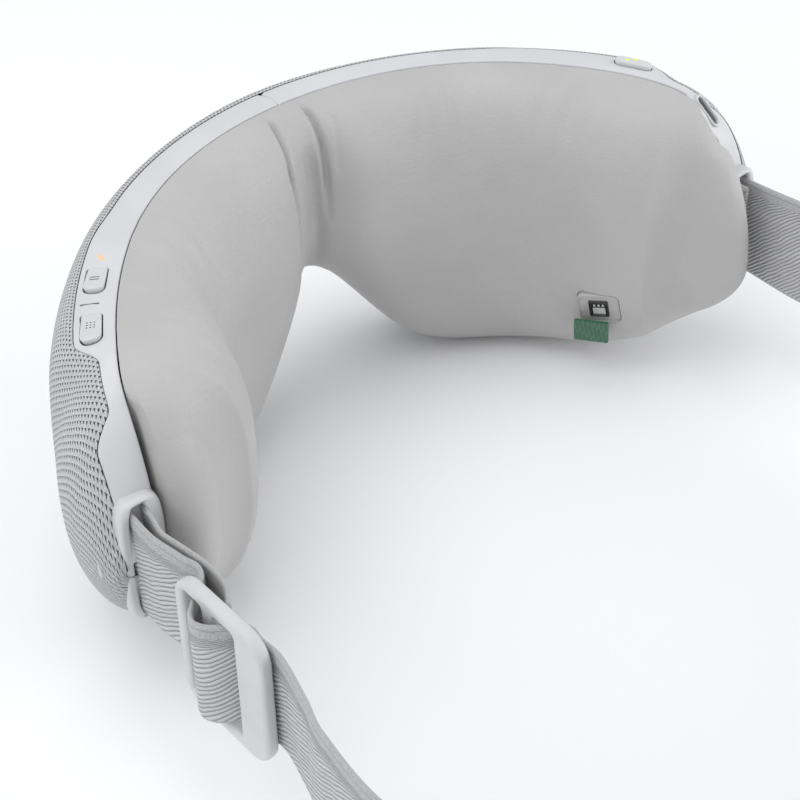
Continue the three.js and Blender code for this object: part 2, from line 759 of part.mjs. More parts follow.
add('right_hinge_leaf', hingeLeaf(1), STEEL);
add('left_hinge_leaf', mirrored(hingeLeaf(0)), STEEL);
add('hinge_pin', hingePin(), STEEL);

add('pause_button', mirrored(button(PAUSE_U)), SATIN);
add('pattern_button', mirrored(button(PATTERN_U)), SATIN);
const lightHeight = casingTop(POWER_U, BUTTON.h) + BUTTON.proud;
const lightWell = uprightCylinder(POWER_U, BUTTON.h, 1.1, lightHeight - 1.5, lightHeight + 2, 12);
add('power_button', button(POWER_U).subtract(lightWell), SATIN);
const powerLight = uprightCylinder(POWER_U, BUTTON.h, 0.8, lightHeight - 1.2, lightHeight + 0.05, 12);
add('power_light', powerLight, GREEN);
add('button_board', mirrored(buttonBoard(84, 112, [PAUSE_U, PATTERN_U])), BOARD);
add('power_board', buttonBoard(99, 110, [POWER_U]), BOARD);
const indicatorTop = casingTop(LIGHT_U, BUTTON.h);
const indicator = uprightCylinder(LIGHT_U, BUTTON.h, 0.9, indicatorTop - 4.5, indicatorTop + 0.1, 12);
add('indicator_light', mirrored(indicator), ORANGE);

add('charge_socket', chargeSocket(), STEEL);
add('socket_tongue', socketTongue(), DARK);
add('main_board', mainBoard(), BOARD);
add('battery', battery(), CELL);
add('bridge_cable', bridgeCable(), FOIL);

for (const [place_name, u, z] of [['brow', 36, 14], ['temple', 105, 4]]) {
  add(`left_${place_name}_motor`, mirrored(motor(u, z)), STEEL);
  add(`left_${place_name}_weight`, mirrored(motorWeight(u, z)), STEEL);
  add(`right_${place_name}_motor`, motor(u, z), STEEL);
  add(`right_${place_name}_weight`, motorWeight(u, z), STEEL);
}

const pinHalf = SLOT_HALF + 1.6;
const anchor = uprightCylinder(PIN.u, PIN.h, PIN.radius, STRAP_Z - pinHalf, STRAP_Z + pinHalf, 12);
add('left_strap_pin', mirrored(anchor), STEEL);
add('right_strap_pin', anchor, STEEL);
add('strap_left', strapLeft(), WEBBING);
add('strap_right', strapRight(), WEBBING);
add('slider', slider(), SATIN);

export default group;
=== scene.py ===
import math

import bmesh
import bpy
import numpy as np
from mathutils import Matrix, Vector


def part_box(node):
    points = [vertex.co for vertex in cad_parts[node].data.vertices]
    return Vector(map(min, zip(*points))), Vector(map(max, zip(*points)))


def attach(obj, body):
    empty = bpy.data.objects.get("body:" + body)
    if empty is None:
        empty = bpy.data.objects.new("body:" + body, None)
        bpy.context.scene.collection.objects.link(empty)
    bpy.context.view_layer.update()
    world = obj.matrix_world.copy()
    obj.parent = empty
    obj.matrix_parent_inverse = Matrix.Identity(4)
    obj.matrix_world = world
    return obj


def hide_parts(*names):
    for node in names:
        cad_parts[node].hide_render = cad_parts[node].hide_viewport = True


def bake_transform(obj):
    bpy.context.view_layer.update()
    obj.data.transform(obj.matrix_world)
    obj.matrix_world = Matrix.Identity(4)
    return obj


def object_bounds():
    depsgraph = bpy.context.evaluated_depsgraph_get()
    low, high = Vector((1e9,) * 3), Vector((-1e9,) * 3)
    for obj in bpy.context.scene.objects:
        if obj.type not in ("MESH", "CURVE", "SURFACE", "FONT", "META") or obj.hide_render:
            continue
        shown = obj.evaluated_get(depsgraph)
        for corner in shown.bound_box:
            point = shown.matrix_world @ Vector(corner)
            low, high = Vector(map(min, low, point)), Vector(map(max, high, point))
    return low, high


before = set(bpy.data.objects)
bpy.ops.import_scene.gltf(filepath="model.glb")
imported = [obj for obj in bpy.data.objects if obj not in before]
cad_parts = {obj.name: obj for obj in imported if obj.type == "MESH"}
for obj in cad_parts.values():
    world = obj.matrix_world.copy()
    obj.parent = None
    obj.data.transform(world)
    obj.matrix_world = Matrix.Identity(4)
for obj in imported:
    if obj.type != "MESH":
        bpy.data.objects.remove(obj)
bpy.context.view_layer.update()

# ---------------------------------------------------------------------------------------------
# Driving dimensions, in millimetres. Everything below is built in millimetres and scaled once.
# u runs along the plan curve from the nose bridge, h outwards from it, and z upwards. Negative u
# is the wearer's left.
# ---------------------------------------------------------------------------------------------
MM = 0.001
ARCS = ((98.0, 76.0), (150.0, 42.0), (37.0, 19.0))
HALF_LENGTH = sum(length for radius, length in ARCS)
TOP_HEIGHT = 45.5
TOP_FALL = 7.0
BOTTOM_DEPTH = 45.0
NOTCH_HEIGHT = 38.0
NOTCH_WIDTH = 28.0
END_HEIGHT = -5.0
TOP_POWER = 18
CASING_BOTTOM_POWER = 3.4
PAD_BOTTOM_POWER = 5.0
FRONT_DEPTH = 15.0
TEMPLE_DEPTH = 16.5
PARTING = -1.0
GAP = 0.3
PAD_DEPTH = 23.0
PAD_INSET = 0.4
PAD_LIP = 5.5
PAD_SECTION_POWER = 2.7
LEFT_OVERHANG = 12.0
RIGHT_OVERHANG = 20.0
TEMPLE_FULLNESS = 8.5
FULLEST_U = 108.0
FULLNESS_WIDTH = 22.0
STRAP_WIDTH = 30.0
STRAP_Z = -1.5
STRAP_THICKNESS = 1.2
RIGHT_LEAN = -3.0
PIN_U = 132.5
PIN_H = 4.4
PIN_RADIUS = 1.0
BUTTON_H = 4.6
PAUSE_U = -90.0
PATTERN_U = -106.5
POWER_U = 104.5
LIGHT_U = -81.3
SOCKET_U = 127.0
SOCKET_H = 0.9
SENSOR_U = 102.0
SENSOR_TURN = 0.605
SENSOR_TILT = math.radians(7.0)


def smoothstep(value, start, end):
    t = np.clip((np.asarray(value, float) - start) / (end - start), 0.0, 1.0)
    return t * t * (3.0 - 2.0 * t)


def bump(value, centre, width):
    return np.exp(-(((np.asarray(value, float) - centre) / width) ** 2))


def signed_power(value, power):
    return np.sign(value) * np.abs(value) ** power


# ---------------------------------------------------------------------------------------------
# The plan curve and the casing's surface
# ---------------------------------------------------------------------------------------------
def plan(u):
    u = np.asarray(u, float)
    left = np.abs(u)
    x = np.zeros_like(u)
    y = np.zeros_like(u)
    heading = np.zeros_like(u)
    for radius, length in ARCS:
        run = np.minimum(left, length)
        turned = heading + run / radius
        x = x + radius * (np.sin(turned) - np.sin(heading))
        y = y - radius * (np.cos(heading) - np.cos(turned))
        heading = turned
        left = left - run
    x = x + left * np.cos(heading)
    y = y - left * np.sin(heading)
    side = np.where(u < 0, -1.0, 1.0)
    return side * x, y, side * heading


def place(u, h, z):
    u, h, z = np.broadcast_arrays(np.asarray(u, float), h, z)
    x, y, heading = plan(u)
    return np.stack([x + h * np.sin(heading), y + h * np.cos(heading), z], axis=-1)


END_U = HALF_LENGTH + 1.0
END_HALF = 19.0
END_BELOW = 22.5
SQUARED_FROM = 118.0


def share(u):
    return np.clip(np.abs(u) / HALF_LENGTH, 0.0, 1.0)


def notch(u):
    return NOTCH_HEIGHT * np.exp(-((u / NOTCH_WIDTH) ** 2))


def with_squared_end(reach, half, u):
    """The temple end is as tall as the strap slot, so the edge curve is squared off there."""
    r = np.clip((np.abs(u) - SQUARED_FROM) / (END_U - SQUARED_FROM), 0.0, 1.0)
    end = half * np.sqrt(1.0 - r**7)
    return (np.maximum(reach, 0.0) ** 8 + end**8) ** 0.125


def top_edge(u, inset=0.0):
    s = share(u)
    reach = (TOP_HEIGHT - TOP_FALL * s**3 - inset - END_HEIGHT) * np.sqrt(1.0 - s**TOP_POWER)
    high = END_HEIGHT + reach
    return np.where(np.abs(u) < 100, high, STRAP_Z + with_squared_end(high - STRAP_Z, END_HALF, u))


def bottom_edge(u, inset=0.0):
    s = share(u)
    reach = (BOTTOM_DEPTH - notch(u) - inset + END_HEIGHT) * np.sqrt(1.0 - s**CASING_BOTTOM_POWER)
    low = END_HEIGHT - reach
    return np.where(np.abs(u) < 100, low, STRAP_Z - with_squared_end(STRAP_Z - low, END_BELOW, u))


def casing_depth(u):
    depth = FRONT_DEPTH + (TEMPLE_DEPTH - FRONT_DEPTH) * smoothstep(np.abs(u), 40, 110)
    r = np.clip((np.abs(u) - 121.0) / (END_U - 121.0), 0.0, 1.0)
    return depth - 7.0 * (1.0 - np.sqrt(1.0 - r**2.4))


def middle(u):
    return (top_edge(u) + bottom_edge(u)) / 2.0


def crown_power(u):
    """The casing's upper side is nearly flat at the front and round at the temples."""
    return 4.0 - 2.0 * smoothstep(np.abs(u), 104, 118)


def casing_top(u, h):
    power = crown_power(u)
    crown = np.clip(1.0 - (np.abs(h) / casing_depth(u)) ** power, 0.0, 1.0) ** (1.0 / power)
    return middle(u) + (top_edge(u) - middle(u)) * crown


def band_width(u):
    a = np.abs(u)
    wide = 7.5 + 1.5 * smoothstep(a, 60, 75)
    return wide - 5.6 * smoothstep(a, 109.5, 116.5) + 5.2 * smoothstep(a, 126, 130)


def socket_bulge(u):
    return 3.0 * (smoothstep(u, 121.0, 124.0) - smoothstep(u, 129.4, 132.0))


def on_casing(u, h, lift=0.0):
    """A point on the casing's upper surface, raised along the surface's own normal."""
    u, h, lift = np.broadcast_arrays(np.asarray(u, float), h, lift)
    step = 0.05
    at = place(u, h, casing_top(u, h))
    along = place(u + step, h, casing_top(u + step, h)) - place(u - step, h, casing_top(u - step, h))
    out = place(u, h + step, casing_top(u, h + step)) - place(u, h - step, casing_top(u, h - step))
    normal = np.cross(out, along)
    normal = normal * np.where(normal[..., 2:3] < 0, -1.0, 1.0)
    normal = normal / np.linalg.norm(normal, axis=-1, keepdims=True)
    return at + normal * lift[..., None]


def stations(start, end, step):
    """Stations along the plan curve, closer together where the edge turns down at a temple."""
    count = max(2, int(round((end - start) / step)) + 1)
    even = np.linspace(start, end, count)
    turning = HALF_LENGTH * np.sin(np.linspace(0.2, 0.5, 40) * math.pi) ** (2 / TOP_POWER)
    closing = END_U - (END_U - 133.0) * np.linspace(1, 0, 14) ** 2
    extra = np.concatenate([turning, closing])
    extra = np.concatenate([-extra, extra])
    extra = extra[(extra > start) & (extra < end)]
    ordered = np.sort(np.concatenate([even, extra]))
    keep = np.concatenate([[True], np.diff(ordered) > 0.02])
    ordered = ordered[keep]
    ordered[-1] = end
    return ordered


# ---------------------------------------------------------------------------------------------
# Mesh helpers
# ---------------------------------------------------------------------------------------------
def new_piece(name, points, faces, material, flow=None):
    mesh = bpy.data.meshes.new(name)
    mesh.from_pydata((np.asarray(points, float) * MM).tolist(), [], faces)
    mesh.validate()
    if flow is not None:
        attribute = mesh.attributes.new("flow", "FLOAT_VECTOR", "POINT")
        attribute.data.foreach_set("vector", np.asarray(flow, np.float32).ravel())
    mesh.update()
    piece = bpy.data.objects.new(name, mesh)
    bpy.context.scene.collection.objects.link(piece)
    piece.data.materials.append(material)
    face_outwards(piece)
    mesh.shade_smooth()
    return piece


def face_outwards(piece):
    sheet = bmesh.new()
    sheet.from_mesh(piece.data)
    bmesh.ops.recalc_face_normals(sheet, faces=sheet.faces)
    sheet.to_mesh(piece.data)
    sheet.free()


def grid_faces(rows, columns, closed_rows=False, closed_columns=False):
    faces = []
    for i in range(rows if closed_rows else rows - 1):
        for j in range(columns if closed_columns else columns - 1):
            a = i * columns + j
            b = i * columns + (j + 1) % columns
            c = ((i + 1) % rows) * columns + (j + 1) % columns
            d = ((i + 1) % rows) * columns + j
            faces.append((a, b, c, d))
    return faces


def tube(name, rings, material, flow=None, capped=True):
    """A closed body through rings of points, with flat ends."""
    rings = np.asarray(rings, float)
    rows, columns = rings.shape[:2]
    faces = grid_faces(rows, columns, closed_columns=True)
    if capped:
        faces.append(tuple(range(columns)))
        faces.append(tuple((rows - 1) * columns + j for j in range(columns)))
    return new_piece(name, rings.reshape(-1, 3), faces, material, flow)


def sheet_piece(name, grid, material, flow=None):
    grid = np.asarray(grid, float)
    rows, columns = grid.shape[:2]
    return new_piece(name, grid.reshape(-1, 3), grid_faces(rows, columns), material, flow)


def bake_modifiers(piece):
    depsgraph = bpy.context.evaluated_depsgraph_get()
    depsgraph.update()
    baked = bpy.data.meshes.new_from_object(piece.evaluated_get(depsgraph), depsgraph=depsgraph)
    piece.modifiers.clear()
    old = piece.data
    piece.data = baked
    bpy.data.meshes.remove(old)
    return piece


def carve(piece, *cutters):
    for cutter in cutters:
        modifier = piece.modifiers.new("carve", "BOOLEAN")
        modifier.operation = "DIFFERENCE"
        modifier.solver = "EXACT"
        modifier.object = cutter
        bake_modifiers(piece)
        bpy.data.objects.remove(cutter)
    piece.data.set_sharp_from_angle(angle=math.radians(38))
    return piece


def rounded_outline(length, width, corner, count=8, rear_corner=None):
    """Points round a rounded rectangle, centred on the origin. The rear is towards +length."""
    rear = corner if rear_corner is None else rear_corner
    points = []
    corners = ((1, 1, rear), (-1, 1, corner), (-1, -1, corner), (1, -1, rear))
    for k, (sx, sy, radius) in enumerate(corners):
        cx = sx * (length / 2 - radius)
        cy = sy * (width / 2 - radius)
        for i in range(count + 1):
            angle = math.pi / 2 * (k + i / count)
            points.append((cx + radius * math.cos(angle), cy + radius * math.sin(angle)))
    return np.array(points)


def plate(name, outline, surface, low, high, material, fillet=0.3, segments=4):
    """A plate with a rounded upper rim. surface(x, y, lift) gives the point in space."""
    rings = [(1.0, 0.0, low), (1.0, 0.0, high - fillet)]
    for i in range(1, segments + 1):
        angle = math.pi / 2 * i / segments
        rings.append((1.0, fillet * (1 - math.cos(angle)), high - fillet + fillet * math.sin(angle)))
    size = np.abs(outline).max(axis=0)
    points = []
    for scale, inset, lift in rings:
        shrunk = outline * (1.0 - inset / size)
        points.append(surface(shrunk[:, 0], shrunk[:, 1], np.full(len(shrunk), lift)))
    for scale in (0.75, 0.5, 0.25, 0.02):
        shrunk = outline * (1.0 - fillet / size) * scale
        points.append(surface(shrunk[:, 0], shrunk[:, 1], np.full(len(shrunk), high)))
    return tube(name, points, material)


# ---------------------------------------------------------------------------------------------
# Materials
# ---------------------------------------------------------------------------------------------
class Paint:
    """One procedural material, built node by node around a Principled surface."""

    def __init__(self, name, colour, roughness, metallic=0.0, sheen=0.0, coat=0.0):
        self.material = bpy.data.materials.new(name)
        self.material.use_nodes = True
        self.tree = self.material.node_tree
        self.surface = self.tree.nodes["Principled BSDF"]
        self.surface.inputs["Base Color"].default_value = (*colour, 1.0)
        self.surface.inputs["Roughness"].default_value = roughness
        self.surface.inputs["Metallic"].default_value = metallic
        self.surface.inputs["Sheen Weight"].default_value = sheen
        self.surface.inputs["Coat Weight"].default_value = coat
        self.position = self.add("ShaderNodeTexCoord").outputs["Object"]

    def add(self, kind, settings=None, **inputs):
        node = self.tree.nodes.new(kind)
        for key, value in (settings or {}).items():
            setattr(node, key, value)
        for key, value in inputs.items():
            self.feed(node.inputs[key.replace("_", " ")], value)
        return node

    def feed(self, socket, value):
        if isinstance(value, bpy.types.NodeSocket):
            self.tree.links.new(value, socket)
        else:
            socket.default_value = value

    def calc(self, operation, *values):
        node = self.tree.nodes.new("ShaderNodeMath")
        node.operation = operation
        for socket, value in zip(node.inputs, values):
            self.feed(socket, value)
        return node.outputs[0]

    def noise(self, scale, detail=2.0, vector=None, roughness=0.5):
        place_at = self.position if vector is None else vector
        node = self.add(
            "ShaderNodeTexNoise", Vector=place_at, Scale=scale, Detail=detail, Roughness=roughness
        )
        return node.outputs["Fac"]

    def ramp(self, value, low, high, start=0.0, end=1.0):
        node = self.add("ShaderNodeMapRange", {"interpolation_type": "SMOOTHSTEP"})
        self.feed(node.inputs["Value"], value)
        self.feed(node.inputs["From Min"], low)
        self.feed(node.inputs["From Max"], high)
        self.feed(node.inputs["To Min"], start)
        self.feed(node.inputs["To Max"], end)
        return node.outputs["Result"]

    def mix(self, share_of, first, second):
        node = self.add("ShaderNodeMix", {"data_type": "RGBA"})
        self.feed(node.inputs[0], share_of)
        self.feed(node.inputs[6], (*first, 1.0) if isinstance(first, tuple) else first)
        self.feed(node.inputs[7], (*second, 1.0) if isinstance(second, tuple) else second)
        return node.outputs[2]

    def flow(self):
        node = self.add("ShaderNodeAttribute", {"attribute_name": "flow"})
        split = self.add("ShaderNodeSeparateXYZ", Vector=node.outputs["Vector"])
        return split.outputs["X"], split.outputs["Y"], node.outputs["Vector"]

    def relief(self, height, distance, strength=1.0, below=None):
        node = self.add("ShaderNodeBump", Strength=strength, Distance=distance, Height=height)
        if below is not None:
            self.tree.links.new(below, node.inputs["Normal"])
        self.tree.links.new(node.outputs["Normal"], self.surface.inputs["Normal"])
        return node.outputs["Normal"]

    def colour(self, socket):
        self.tree.links.new(socket, self.surface.inputs["Base Color"])

    def rough(self, socket):
        self.tree.links.new(socket, self.surface.inputs["Roughness"])


def plastic(name, colour, roughness, grain=9000.0, depth=0.00002, **extra):
    """Moulded plastic: a fine spark-eroded grain, faint cloudiness and uneven gloss."""
    paint = Paint(name, colour, roughness, **extra)
    cloud = paint.noise(60.0, 3.0)
    darker = tuple(c * 0.95 for c in colour)
    paint.colour(paint.mix(paint.ramp(cloud, 0.35, 0.65), darker, colour))
    paint.rough(paint.ramp(paint.noise(220.0, 3.0), 0.2, 0.8, roughness - 0.05, roughness + 0.06))
    paint.relief(paint.noise(grain, 1.0), depth, 0.35)
    return paint.material


def leather(name, colour):
    """Imitation leather: pebbled grain cells, fine pores and a faint brushed direction."""
    paint = Paint(name, colour, 0.5, sheen=0.12)
    cells = paint.add("ShaderNodeTexVoronoi", {"feature": "F1"}, Vector=paint.position, Scale=1500.0)
    pores = paint.noise(5200.0, 2.0)
    stretched = paint.add("ShaderNodeMapping", Vector=paint.position, Scale=(1.0, 1.0, 6.0))
    brushed = paint.noise(420.0, 3.0, stretched.outputs["Vector"])
    cloud = paint.noise(34.0, 3.0)
    darker = tuple(c * 0.93 for c in colour)
    paint.colour(paint.mix(paint.ramp(cloud, 0.3, 0.7), darker, colour))
    paint.rough(paint.ramp(brushed, 0.3, 0.7, 0.44, 0.56))
    grain = paint.calc("ADD", paint.calc("MULTIPLY", cells.outputs["Distance"], 0.8), pores)
    first = paint.relief(paint.calc("ADD", grain, paint.calc("MULTIPLY", brushed, 1.2)), 0.00011, 0.7)
    paint.relief(cloud, 0.0006, 0.25, below=first)
    return paint.material


KNIT_PITCH = 1.15


def knit_fabric(name):
    """Spacer knit: rows of small triangular openings between raised yarns, the openings painted near-black
    as the shade inside them.
    """
    paint = Paint(name, (0.6, 0.6, 0.61), 0.8, sheen=0.2)
    along, across, vector = paint.flow()
    wobble = paint.calc("MULTIPLY", paint.calc("SUBTRACT", paint.noise(0.35, 2.0, vector), 0.5), 0.35)
    row = paint.calc("ADD", paint.calc("DIVIDE", across, KNIT_PITCH * 0.86), wobble)
    odd = paint.calc("MULTIPLY", paint.calc("PINGPONG", paint.calc("FLOOR", row), 1.0), 0.5)
    column = paint.calc("ADD", paint.calc("DIVIDE", along, KNIT_PITCH), odd)
    x = paint.calc("ABSOLUTE", paint.calc("SUBTRACT", paint.calc("FRACT", column), 0.5))
    y = paint.calc("FRACT", row)
    side = paint.calc("SUBTRACT", paint.calc("MULTIPLY", paint.calc("SUBTRACT", y, 0.16), 0.46), x)
    upper = paint.calc("MULTIPLY", paint.calc("SUBTRACT", 0.8, y), 0.5)
    inside = paint.calc("MINIMUM", side, upper)
    shaded_opening = paint.ramp(inside, -0.03, 0.07)
    stripe = paint.calc("SINE", paint.calc("MULTIPLY", along, 2 * math.pi / 0.42))
    fibre = paint.noise(3.2, 3.0, vector, 0.7)
    yarn = paint.mix(paint.ramp(fibre, 0.3, 0.75), (0.38, 0.38, 0.39), (0.7, 0.7, 0.7))
    # Painted shade: the openings get a near-black colour for the shade that falls inside the holes.
    paint.colour(paint.mix(shaded_opening, yarn, (0.035, 0.036, 0.04)))
    body = paint.calc("SUBTRACT", 1.0, shaded_opening)
    loops = paint.calc("ADD", paint.calc("MULTIPLY", stripe, 0.08), paint.calc("MULTIPLY", fibre, 0.35))
    paint.relief(paint.calc("ADD", body, loops), 0.00045, 0.9)
    return paint.material


RIB_PITCH = 1.38
SELVAGE = 3.6


def webbing(name, slope, bend):
    """Elastic webbing: raised diagonal ribs with painted shade in the valleys between them, a flat
    mixed-yarn selvage above.
    """
    paint = Paint(name, (0.6, 0.6, 0.6), 0.85, sheen=0.2)
    along, across, vector = paint.flow()
    top = STRAP_WIDTH / 2 - SELVAGE
    near_top = paint.ramp(across, top - 5.0, top + 1.0)
    curl = paint.calc("MULTIPLY", paint.calc("MULTIPLY", near_top, near_top), bend)
    wave = paint.calc("MULTIPLY", paint.calc("SUBTRACT", paint.noise(0.16, 1.0, vector), 0.5), 1.5)
    climb = paint.calc("MULTIPLY", along, slope)
    phase = paint.calc("ADD", paint.calc("SUBTRACT", across, climb), paint.calc("ADD", curl, wave))
    turn = paint.calc("MULTIPLY", phase, 2 * math.pi / RIB_PITCH)
    rib = paint.calc("ADD", paint.calc("MULTIPLY", paint.calc("SINE", turn), 0.5), 0.5)
    groove_shade = paint.ramp(rib, 0.0, 0.22, 1.0, 0.0)
    edge = paint.ramp(across, top - 0.15, top + 0.15)
    lower = paint.ramp(across, -STRAP_WIDTH / 2 + 0.7, -STRAP_WIDTH / 2 + 1.0, 1.0, 0.0)
    flat = paint.calc("MAXIMUM", edge, lower)
    fleck = paint.noise(3.6, 3.0, vector, 0.8)
    fine = paint.noise(7.0, 2.0, vector)
    # Painted shade: the valleys between the ribs are coloured near-black for the shade that falls in them.
    ribbed = paint.mix(groove_shade, (0.68, 0.68, 0.69), (0.17, 0.17, 0.175))
    ribbed = paint.mix(paint.ramp(fine, 0.35, 0.9, 0.0, 0.45), ribbed, (0.4, 0.4, 0.41))
    mixed = paint.mix(paint.ramp(fleck, 0.3, 0.7), (0.3, 0.3, 0.3), (0.54, 0.54, 0.54))
    seam = paint.calc("ABSOLUTE", paint.calc("SUBTRACT", across, STRAP_WIDTH / 2 - 1.3))
    line = paint.calc("MULTIPLY", paint.ramp(seam, 0.05, 0.3, 1.0, 0.0), 0.45)
    mixed = paint.mix(line, mixed, (0.16, 0.16, 0.16))
    paint.colour(paint.mix(flat, ribbed, mixed))
    ribs = paint.calc("MULTIPLY", rib, paint.calc("SUBTRACT", 1.0, flat))
    first = paint.relief(paint.calc("ADD", ribs, paint.calc("MULTIPLY", flat, 0.55)), 0.00055, 0.9)
    paint.relief(fleck, 0.00016, 0.6, below=first)
    return paint.material


def lamp(name, colour, strength):
    paint = Paint(name, colour, 0.25, coat=0.5)
    glow = paint.ramp(paint.noise(900.0, 1.0), 0.3, 0.7, 0.9, 1.0)
    paint.colour(paint.mix(glow, tuple(c * 0.8 for c in colour), colour))
    paint.surface.inputs["Emission Color"].default_value = (*colour, 1.0)
    paint.surface.inputs["Emission Strength"].default_value = strength
    return paint.material


def metal(name, colour, roughness):
    paint = Paint(name, colour, roughness, metallic=1.0)
    stretched = paint.add("ShaderNodeMapping", Vector=paint.position, Scale=(1.0, 1.0, 0.06))
    brushed = paint.noise(3000.0, 2.0, stretched.outputs["Vector"])
    paint.rough(paint.ramp(brushed, 0.3, 0.7, roughness - 0.07, roughness + 0.1))
    paint.relief(brushed, 0.00002, 0.4)
    return paint.material


def circuit(name):
    """Solder mask with copper tracks showing through as a faint grid."""
    paint = Paint(name, (0.02, 0.12, 0.06), 0.35, coat=0.3)
    brick = paint.add("ShaderNodeTexBrick", Vector=paint.position, Scale=260.0)
    tracks = paint.ramp(brick.outputs["Fac"], 0.4, 0.6)
    paint.colour(paint.mix(tracks, (0.02, 0.1, 0.05), (0.05, 0.2, 0.1)))
    paint.relief(tracks, 0.00005, 0.5)
    return paint.material


SATIN = plastic("satin_plastic", (0.62, 0.622, 0.635), 0.36)
SLIDER_PLASTIC = plastic("slider_plastic", (0.60, 0.60, 0.615), 0.42, grain=7000.0)
INNER_PLASTIC = plastic("inner_plastic", (0.62, 0.62, 0.63), 0.5, grain=4000.0, depth=0.00004)
DARK_PLASTIC = plastic("dark_plastic", (0.02, 0.02, 0.022), 0.25, coat=0.3)
# Painted shade: the engraved key marks and the divider groove are thin dark plates coloured for the shade
# inside the engraving.
ENGRAVING_SHADE = plastic("engraving_shade", (0.09, 0.09, 0.095), 0.6)
PALE_WINDOW = plastic("pale_window", (0.6, 0.6, 0.6), 0.3)
LEATHER = leather("leather", (0.475, 0.466, 0.462))
KNIT = knit_fabric("knit")
WEBBING_LEFT = webbing("webbing", 0.56, 5.0)
WEBBING_RIGHT = webbing("webbing_inside", 0.95, 1.5)
STEEL = metal("steel", (0.6, 0.61, 0.62), 0.3)
CIRCUIT = circuit("circuit_board")
HEATER = metal("heating_mat", (0.72, 0.38, 0.2), 0.45)
CELL = metal("cell", (0.42, 0.44, 0.47), 0.4)
ORANGE = lamp("orange_light", (1.0, 0.42, 0.2), 0.35)
GREEN = lamp("green_light", (0.55, 0.8, 0.03), 0.3)

# ---------------------------------------------------------------------------------------------
# Pads: one leather skin from temple to temple, creased where it turns over the nose
# ---------------------------------------------------------------------------------------------
PAD_BACK = PARTING - GAP


def pad_bottom(u):
    s = share(u)
    reach = BOTTOM_DEPTH - PAD_INSET - notch(u) + END_HEIGHT
    return END_HEIGHT - reach * np.sqrt(1.0 - s**PAD_BOTTOM_POWER)


def pad_top(u):
    s = share(u)
    reach = TOP_HEIGHT - TOP_FALL * s**3 - PAD_INSET - END_HEIGHT
    return END_HEIGHT + reach * np.sqrt(1.0 - s**TOP_POWER)


def pad_depth(u):
    s = share(u)
    fullness = TEMPLE_FULLNESS * bump(np.abs(u), FULLEST_U, FULLNESS_WIDTH)
    return (PAD_DEPTH + fullness) * (1.0 - 0.45 * s**14) - 8.0 * bump(u, 0, 11)


def pad_point(u, turn):
    u, turn = np.broadcast_arrays(np.asarray(u, float), turn)
    high = pad_top(u)
    low = pad_bottom(u)
    mid = (high + low) / 2.0
    collar = 1.3 * smoothstep(np.abs(u), 124, 128)
    back = PAD_BACK - collar - socket_bulge(u) * np.clip(1.0 - turn, 0, 1) ** 2
    sine = np.sin(math.pi * turn)
    cosine = np.cos(math.pi * turn)
    depth = np.maximum(sine, 0.0) ** (2 / PAD_SECTION_POWER)
    rise = signed_power(cosine, 2 / PAD_SECTION_POWER)
    lip = PAD_LIP * smoothstep(np.abs(u), 4, 40) * (1.0 - share(u) ** 8)
    sag = np.where(turn > 0.5, lip * np.maximum(sine, 0) ** 0.8 * np.abs(cosine) ** 0.6, 0.0)
    rounded = depth**0.3 * (1.0 - 0.65 * depth**2)
    overhang = np.where(u < 0, -LEFT_OVERHANG, RIGHT_OVERHANG)
    ahead = overhang * share(u) ** 7 * rounded
    h = back - (pad_depth(u) + back) * depth
    return place(u + ahead, h, mid + (high - mid) * rise - sag)


def crease(u, turn, start, end, width, depth):
    """A groove pressed along a line of the skin, from (u, turn) to (u, turn), fading at its ends."""
    (u0, t0), (u1, t1) = start, end
    part = np.clip((turn - t0) / (t1 - t0), -0.5, 1.5)
    line = u0 + (u1 - u0) * part
    fade = smoothstep(part, -0.15, 0.12) * (1.0 - smoothstep(part, 0.8, 1.15))
    return -depth * fade * bump(u, line, width)


def pad_relief(u, turn):
    """How far the skin stands off its smooth form: the bridge's folds and the shallow wrinkles."""
    off = crease(u, turn, (-7.0, 0.06), (-12.0, 0.36), 1.1, 1.9)
    off = off + crease(u, turn, (-12.0, 0.32), (-9.0, 0.80), 1.5, 1.8)
    off = off + crease(u, turn, (5.5, 0.05), (4.5, 0.50), 1.0, 1.9)
    off = off + crease(u, turn, (0.0, 0.34), (2.0, 0.82), 2.4, 1.7)
    off = off + crease(u, turn, (11.0, 0.16), (8.0, 0.40), 1.0, 0.5)
    off = off + crease(u, turn, (10.0, 0.84), (13.0, 0.97), 1.5, 0.8)
    near_band = bump(turn, 0.14, 0.12)
    ripple = np.sin(u / 1.2 + 11.0 * turn + 1.6 * np.sin(u / 8.0)) * (0.55 + 0.45 * np.sin(u / 6.1))
    off = off + 0.34 * ripple * near_band * smoothstep(np.abs(u), 14, 40)
    slow = np.sin(u / 11.0 + 2.0) * np.sin(turn * 9.0 + u / 23.0)
    return off + 0.1 * slow * np.clip(np.sin(math.pi * turn), 0, 1)


def join_tips(piece):
    """The first and last rings are folded flat: their caps go and their two sides are joined."""
    shape = bmesh.new()
    shape.from_mesh(piece.data)
    caps = [face for face in shape.faces if len(face.verts) > 4]
    bmesh.ops.delete(shape, geom=caps, context="FACES_ONLY")
    bmesh.ops.remove_doubles(shape, verts=shape.verts, dist=0.00001)
    shape.to_mesh(piece.data)
    shape.free()


